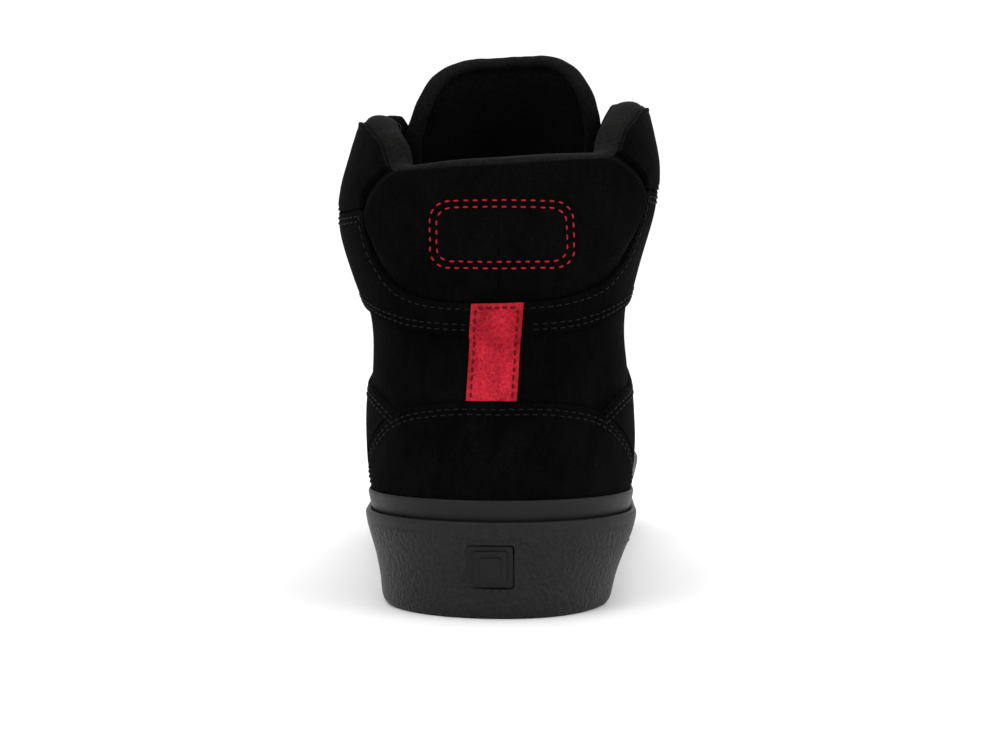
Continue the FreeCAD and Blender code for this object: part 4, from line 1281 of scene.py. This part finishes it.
def build_lining():
    """The collar and quarter lining as one padded form: a roll along the topline, full round the ankle."""
    region = whole(quarter_region())
    rows, cols = 260, 70
    u = np.linspace(0, 1, rows)
    v = 1 - (1 - np.linspace(0, 1, cols)) ** 1.25
    uu, vv = np.meshgrid(u, v, indexing="ij")
    theta, t = region(uu, vv)
    depth = lining_face(theta, t) - LINING
    base = skin(theta, t, 0 * t)
    depth = depth + wobble(base, 0.5, 17.0, 6.0) * smooth((t - 4.0) / 1.5) * smooth(foam_depth(theta, t) / 3)
    inner = np.stack([theta, t, depth], -1)
    top = inner[:, -1]
    foam = foam_depth(top[:, 0], top[:, 1]) / COLLAR_FOAM
    roll = []
    turn = np.linspace(0.12, 1.0, 12)
    reach = -BASE - AIR + 1.2 - top[:, 2]
    for k in turn:
        a = math.pi * k
        offset = top[:, 2] + reach * (1 - math.cos(a)) / 2
        rise = (0.05 + 0.15 * foam) * math.sin(a) ** 0.8 if k < 1 else 0 * foam
        roll.append(np.stack([top[:, 0], top[:, 1] + rise - 0.03, offset], -1))
    down = []
    for f in np.linspace(1.0, 0.0, 24):
        th, tt = region(u, np.full(rows, f * 0.985))
        down.append(np.stack([th, tt, np.full(rows, -BASE - AIR + 0.04)], -1))
    pull = smooth((inner[..., 1].max(axis=1, keepdims=True) - inner[..., 1]) / 0.5)
    inner[..., 2] += (1 - pull) * foam[:, None] * 1.6
    table = np.concatenate([inner, np.stack(roll, 1), np.stack(down, 1)], 1)
    p = skin(table[..., 0], table[..., 1], table[..., 2])
    n, m = p.shape[:2]
    verts = p.reshape(-1, 3)
    faces = grid_faces(n, m)
    for i in range(n - 1):
        a, b = i * m, (i + 1) * m
        faces.append((a + m - 1, b + m - 1, b, a))
    faces.append(tuple(range(m)))
    faces.append(tuple(range((n - 1) * m, n * m))[::-1])
    obj = recalc(make_object("collar_lining_pad", verts, faces, ["lining"]))
    for sign in (1, -1):
        drill_eyelets(obj, sign)
    place(obj, ["quarter_lining", "collar_foam"], slot="lining_textile")


# ================================================================ tongue
def tongue_half(t):
    """Half the tongue's width as an angle: it widens above its foot and narrows at its top."""
    return 0.70 + 0.30 * smooth((t - 5.4) / 2.2) - 0.20 * smooth((t - 7.75) / 1.2)


def tongue_at(s, v):
    """s runs -1..1 across the tongue, lateral to medial as seen from the front; v from foot to top."""
    droop = 0.35 * np.maximum(0.0, (np.abs(s) - 0.3) / 0.7) ** 3
    t = TONGUE_LOW + (TONGUE_HIGH - droop * smooth((v - 0.5) / 0.5) - TONGUE_LOW) * v
    half = tongue_half(t) * (1 + 0.08 * (s > 0))
    return math.pi + half * s, t


TONGUE_MIDDLE = TONGUE_OUT - 1.2 - TONGUE_FOAM / 2 - 0.6
RIM_WIDE, RIM_DEEP, RIM_SIDES = 1.9, 3.0, 20
RIM_FOOT, RIM_CORNER = 0.02, 0.93            # where the rim starts, and where it turns to the top


def tongue_pad():
    rows, cols = 90, 110
    s, v = np.meshgrid(np.linspace(-1, 1, rows), np.linspace(0, 1, cols), indexing="ij")
    theta, t = tongue_at(s, v)
    flat = skin(theta, t, np.full(theta.shape, TONGUE_MIDDLE))
    d = np.minimum(1 - np.abs(s), (1 - v) * 2.4) * 32
    fat = 3.0 * np.sqrt(np.clip(1 - (1 - np.clip(d / 7, 0, 1)) ** 2, 0, 1)) + 0.15
    front = fat * 0.82 + wobble(flat, 0.12, 9, 1)
    rear = fat * 0.95 - 0.8 * smooth(1 - d / 6) + wobble(flat, 0.25, 11, 2)
    n = normal(theta, t)
    a = flat + n * front[..., None]
    b = flat - n * np.maximum(rear, 0.1)[..., None]
    # The rear face and the edges take the darker tongue lining, which is painted shade inside the shoe's
    # opening.
    verts, faces, slots = sheets(a, b, (0, 1, 1))
    pad = recalc(make_object("tongue_pad", verts, faces, ["suede_black", "tongue_lining"], slots))
    place(pad, ["tongue_cover", "tongue_foam", "tongue_lining", "tongue_cover_top", "tongue_foam_top",
                "tongue_lining_top"], None, "lining_textile")
    return pad


def tongue_rim():
    """The rolled rim along both sides and the top."""
    path = [(-1, x) for x in np.linspace(RIM_FOOT, RIM_CORNER, 70)]
    corner = [(-1 + 0.14 * (1 - math.cos(a)), RIM_CORNER + 0.07 * math.sin(a))
              for a in np.linspace(0, math.pi / 2, 10)[1:]]
    path += corner + [(x, 1.0) for x in np.linspace(-0.86, 0.86, 60)[1:-1]]
    path += [(-x, y) for x, y in corner[::-1]] + [(1, x) for x in np.linspace(RIM_CORNER, RIM_FOOT, 70)]
    path = np.array(path)
    for _ in range(4):
        path[1:-1] = (path[:-2] + 2 * path[1:-1] + path[2:]) / 4
    theta, t = tongue_at(path[:, 0], path[:, 1])
    centre = skin(theta, t, np.full(theta.shape, TONGUE_MIDDLE))
    n = normal(theta, t)
    along = unit(np.gradient(centre, axis=0))
    side = unit(np.cross(n, along))
    count, m = len(centre), RIM_SIDES
    verts = []
    for i in range(count):
        taper = min(1.0, 0.35 + min(i, count - 1 - i) / 6)
        for j in range(m):
            a = 2 * math.pi * j / m
            uneven = 1 + 0.02 * math.sin(i * 0.9 + 2 * a) + 0.03 * math.sin(i * 0.37 + a)
            spoke = side[i] * math.cos(a) * RIM_WIDE + n[i] * math.sin(a) * RIM_DEEP
            verts.append(centre[i] + spoke * taper * uneven)
    faces = ring_faces(count, m) + [tuple(range(m))[::-1], tuple(range((count - 1) * m, count * m))]
    rim = recalc(make_object("tongue_rim", verts, faces, ["binding"]))
    place(rim, ["tongue_binding", "tongue_binding_top"], None, "binding_textile")
    return rim


def lace_keeper():
    """A webbing loop sewn at its two ends, bowed out in the middle to take the lace."""
    rows, cols = 24, 14
    u, w = np.meshgrid(np.linspace(-1, 1, rows), np.linspace(0, 1, cols), indexing="ij")
    theta = math.pi + 0.17 * u
    t = 7.2 + 0.4 * w
    bow = 1.5 * (1 - u ** 2) ** 2
    low = skin(theta, t, TONGUE_OUT + 0.05 + bow)
    high = skin(theta, t, TONGUE_OUT + 0.9 + bow + 0.12 * np.sin(math.pi * w))
    verts, faces, slots = sheets(high, low)
    keeper = recalc(make_object("lace_keeper_webbing", verts, faces, ["webbing"], slots))
    place(keeper, "lace_keeper", "tongue", "binding_textile")


def build_tongue():
    pad, rim = tongue_pad(), tongue_rim()
    lace_keeper()
    for obj in (pad, rim):
        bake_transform(obj)


def cad_materials():
    table = {"heel_badge": "badge_rubber", "midsole_foam": "foam", "lasting_board": "sock",
             "heel_counter_stiffener": "badge_rubber", "toe_puff": "badge_rubber",
             "eyelets_medial": "eyelet_enamel", "eyelets_lateral": "eyelet_enamel"}
    for node, material in table.items():
        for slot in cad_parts[node].material_slots:
            slot.material = MATERIALS[material]


# ================================================================ stage
def look_at(obj, target):
    obj.rotation_euler = (Vector(target) - obj.location).to_track_quat("-Z", "Y").to_euler()


def area(name, location, target, size, power):
    data = bpy.data.lights.new(name, "AREA")
    data.shape = "RECTANGLE"
    data.size, data.size_y = size
    data.energy = power
    obj = bpy.data.objects.new(name, data)
    obj.location = location
    bpy.context.scene.collection.objects.link(obj)
    look_at(obj, target)


CAMERA_BACK, CAMERA_SIDE, CAMERA_HEIGHT = 0.573, 0.02005, 0.096
TARGET_SIDE, TARGET_HEIGHT = 0.00295, 0.0697
LENS = 73.2
FLOOR, WORLD_STRENGTH = 15, 1.06


def build_stage():
    data = bpy.data.cameras.new("camera")
    data.lens, data.sensor_width = LENS, 36.0
    data.clip_start, data.clip_end = 0.05, 20
    cam = bpy.data.objects.new("camera", data)
    heel = -MID_Y * 0.001
    cam.location = (CAMERA_SIDE, heel - CAMERA_BACK, CAMERA_HEIGHT)
    bpy.context.scene.collection.objects.link(cam)
    look_at(cam, (TARGET_SIDE, heel, TARGET_HEIGHT))
    bpy.context.scene.camera = cam

    mesh = bpy.data.meshes.new("floor")
    corners = [(FLOOR * x, FLOOR * y, 0) for x, y in ((-1, -1), (1, -1), (1, 1), (-1, 1))]
    mesh.from_pydata(corners, [], [(0, 1, 2, 3)])
    mesh.materials.append(MATERIALS["floor"])
    floor = bpy.data.objects.new("floor", mesh)
    bpy.context.scene.collection.objects.link(floor)

    world = bpy.context.scene.world or bpy.data.worlds.new("world")
    bpy.context.scene.world = world
    world.use_nodes = True
    back = world.node_tree.nodes["Background"]
    back.inputs["Color"].default_value = (1, 1, 1, 1)
    back.inputs["Strength"].default_value = WORLD_STRENGTH
    bpy.context.scene.view_settings.view_transform = "Standard"
    area("key", (-0.5, -0.9, 0.95), (0, -0.08, 0.08), (0.7, 0.7), 3)
    area("fill", (0.9, -0.6, 0.5), (0, -0.08, 0.08), (0.7, 0.9), 2.5)
    area("top", (0.0, 0.1, 1.2), (0, -0.05, 0.08), (1.0, 1.0), 4)
    area("front", (0.2, 1.2, 0.7), (0, 0.05, 0.06), (0.9, 0.7), 2)


build_materials()
STRIP_MAP = strip_map()
build_cup()
build_band()
build_footbed()
build_base()
SADDLE_TOP = build_overlays()
build_back_panel()
build_strip()
build_black_stitches(SADDLE_TOP)
build_lining()
build_tongue()
cad_materials()
build_stage()
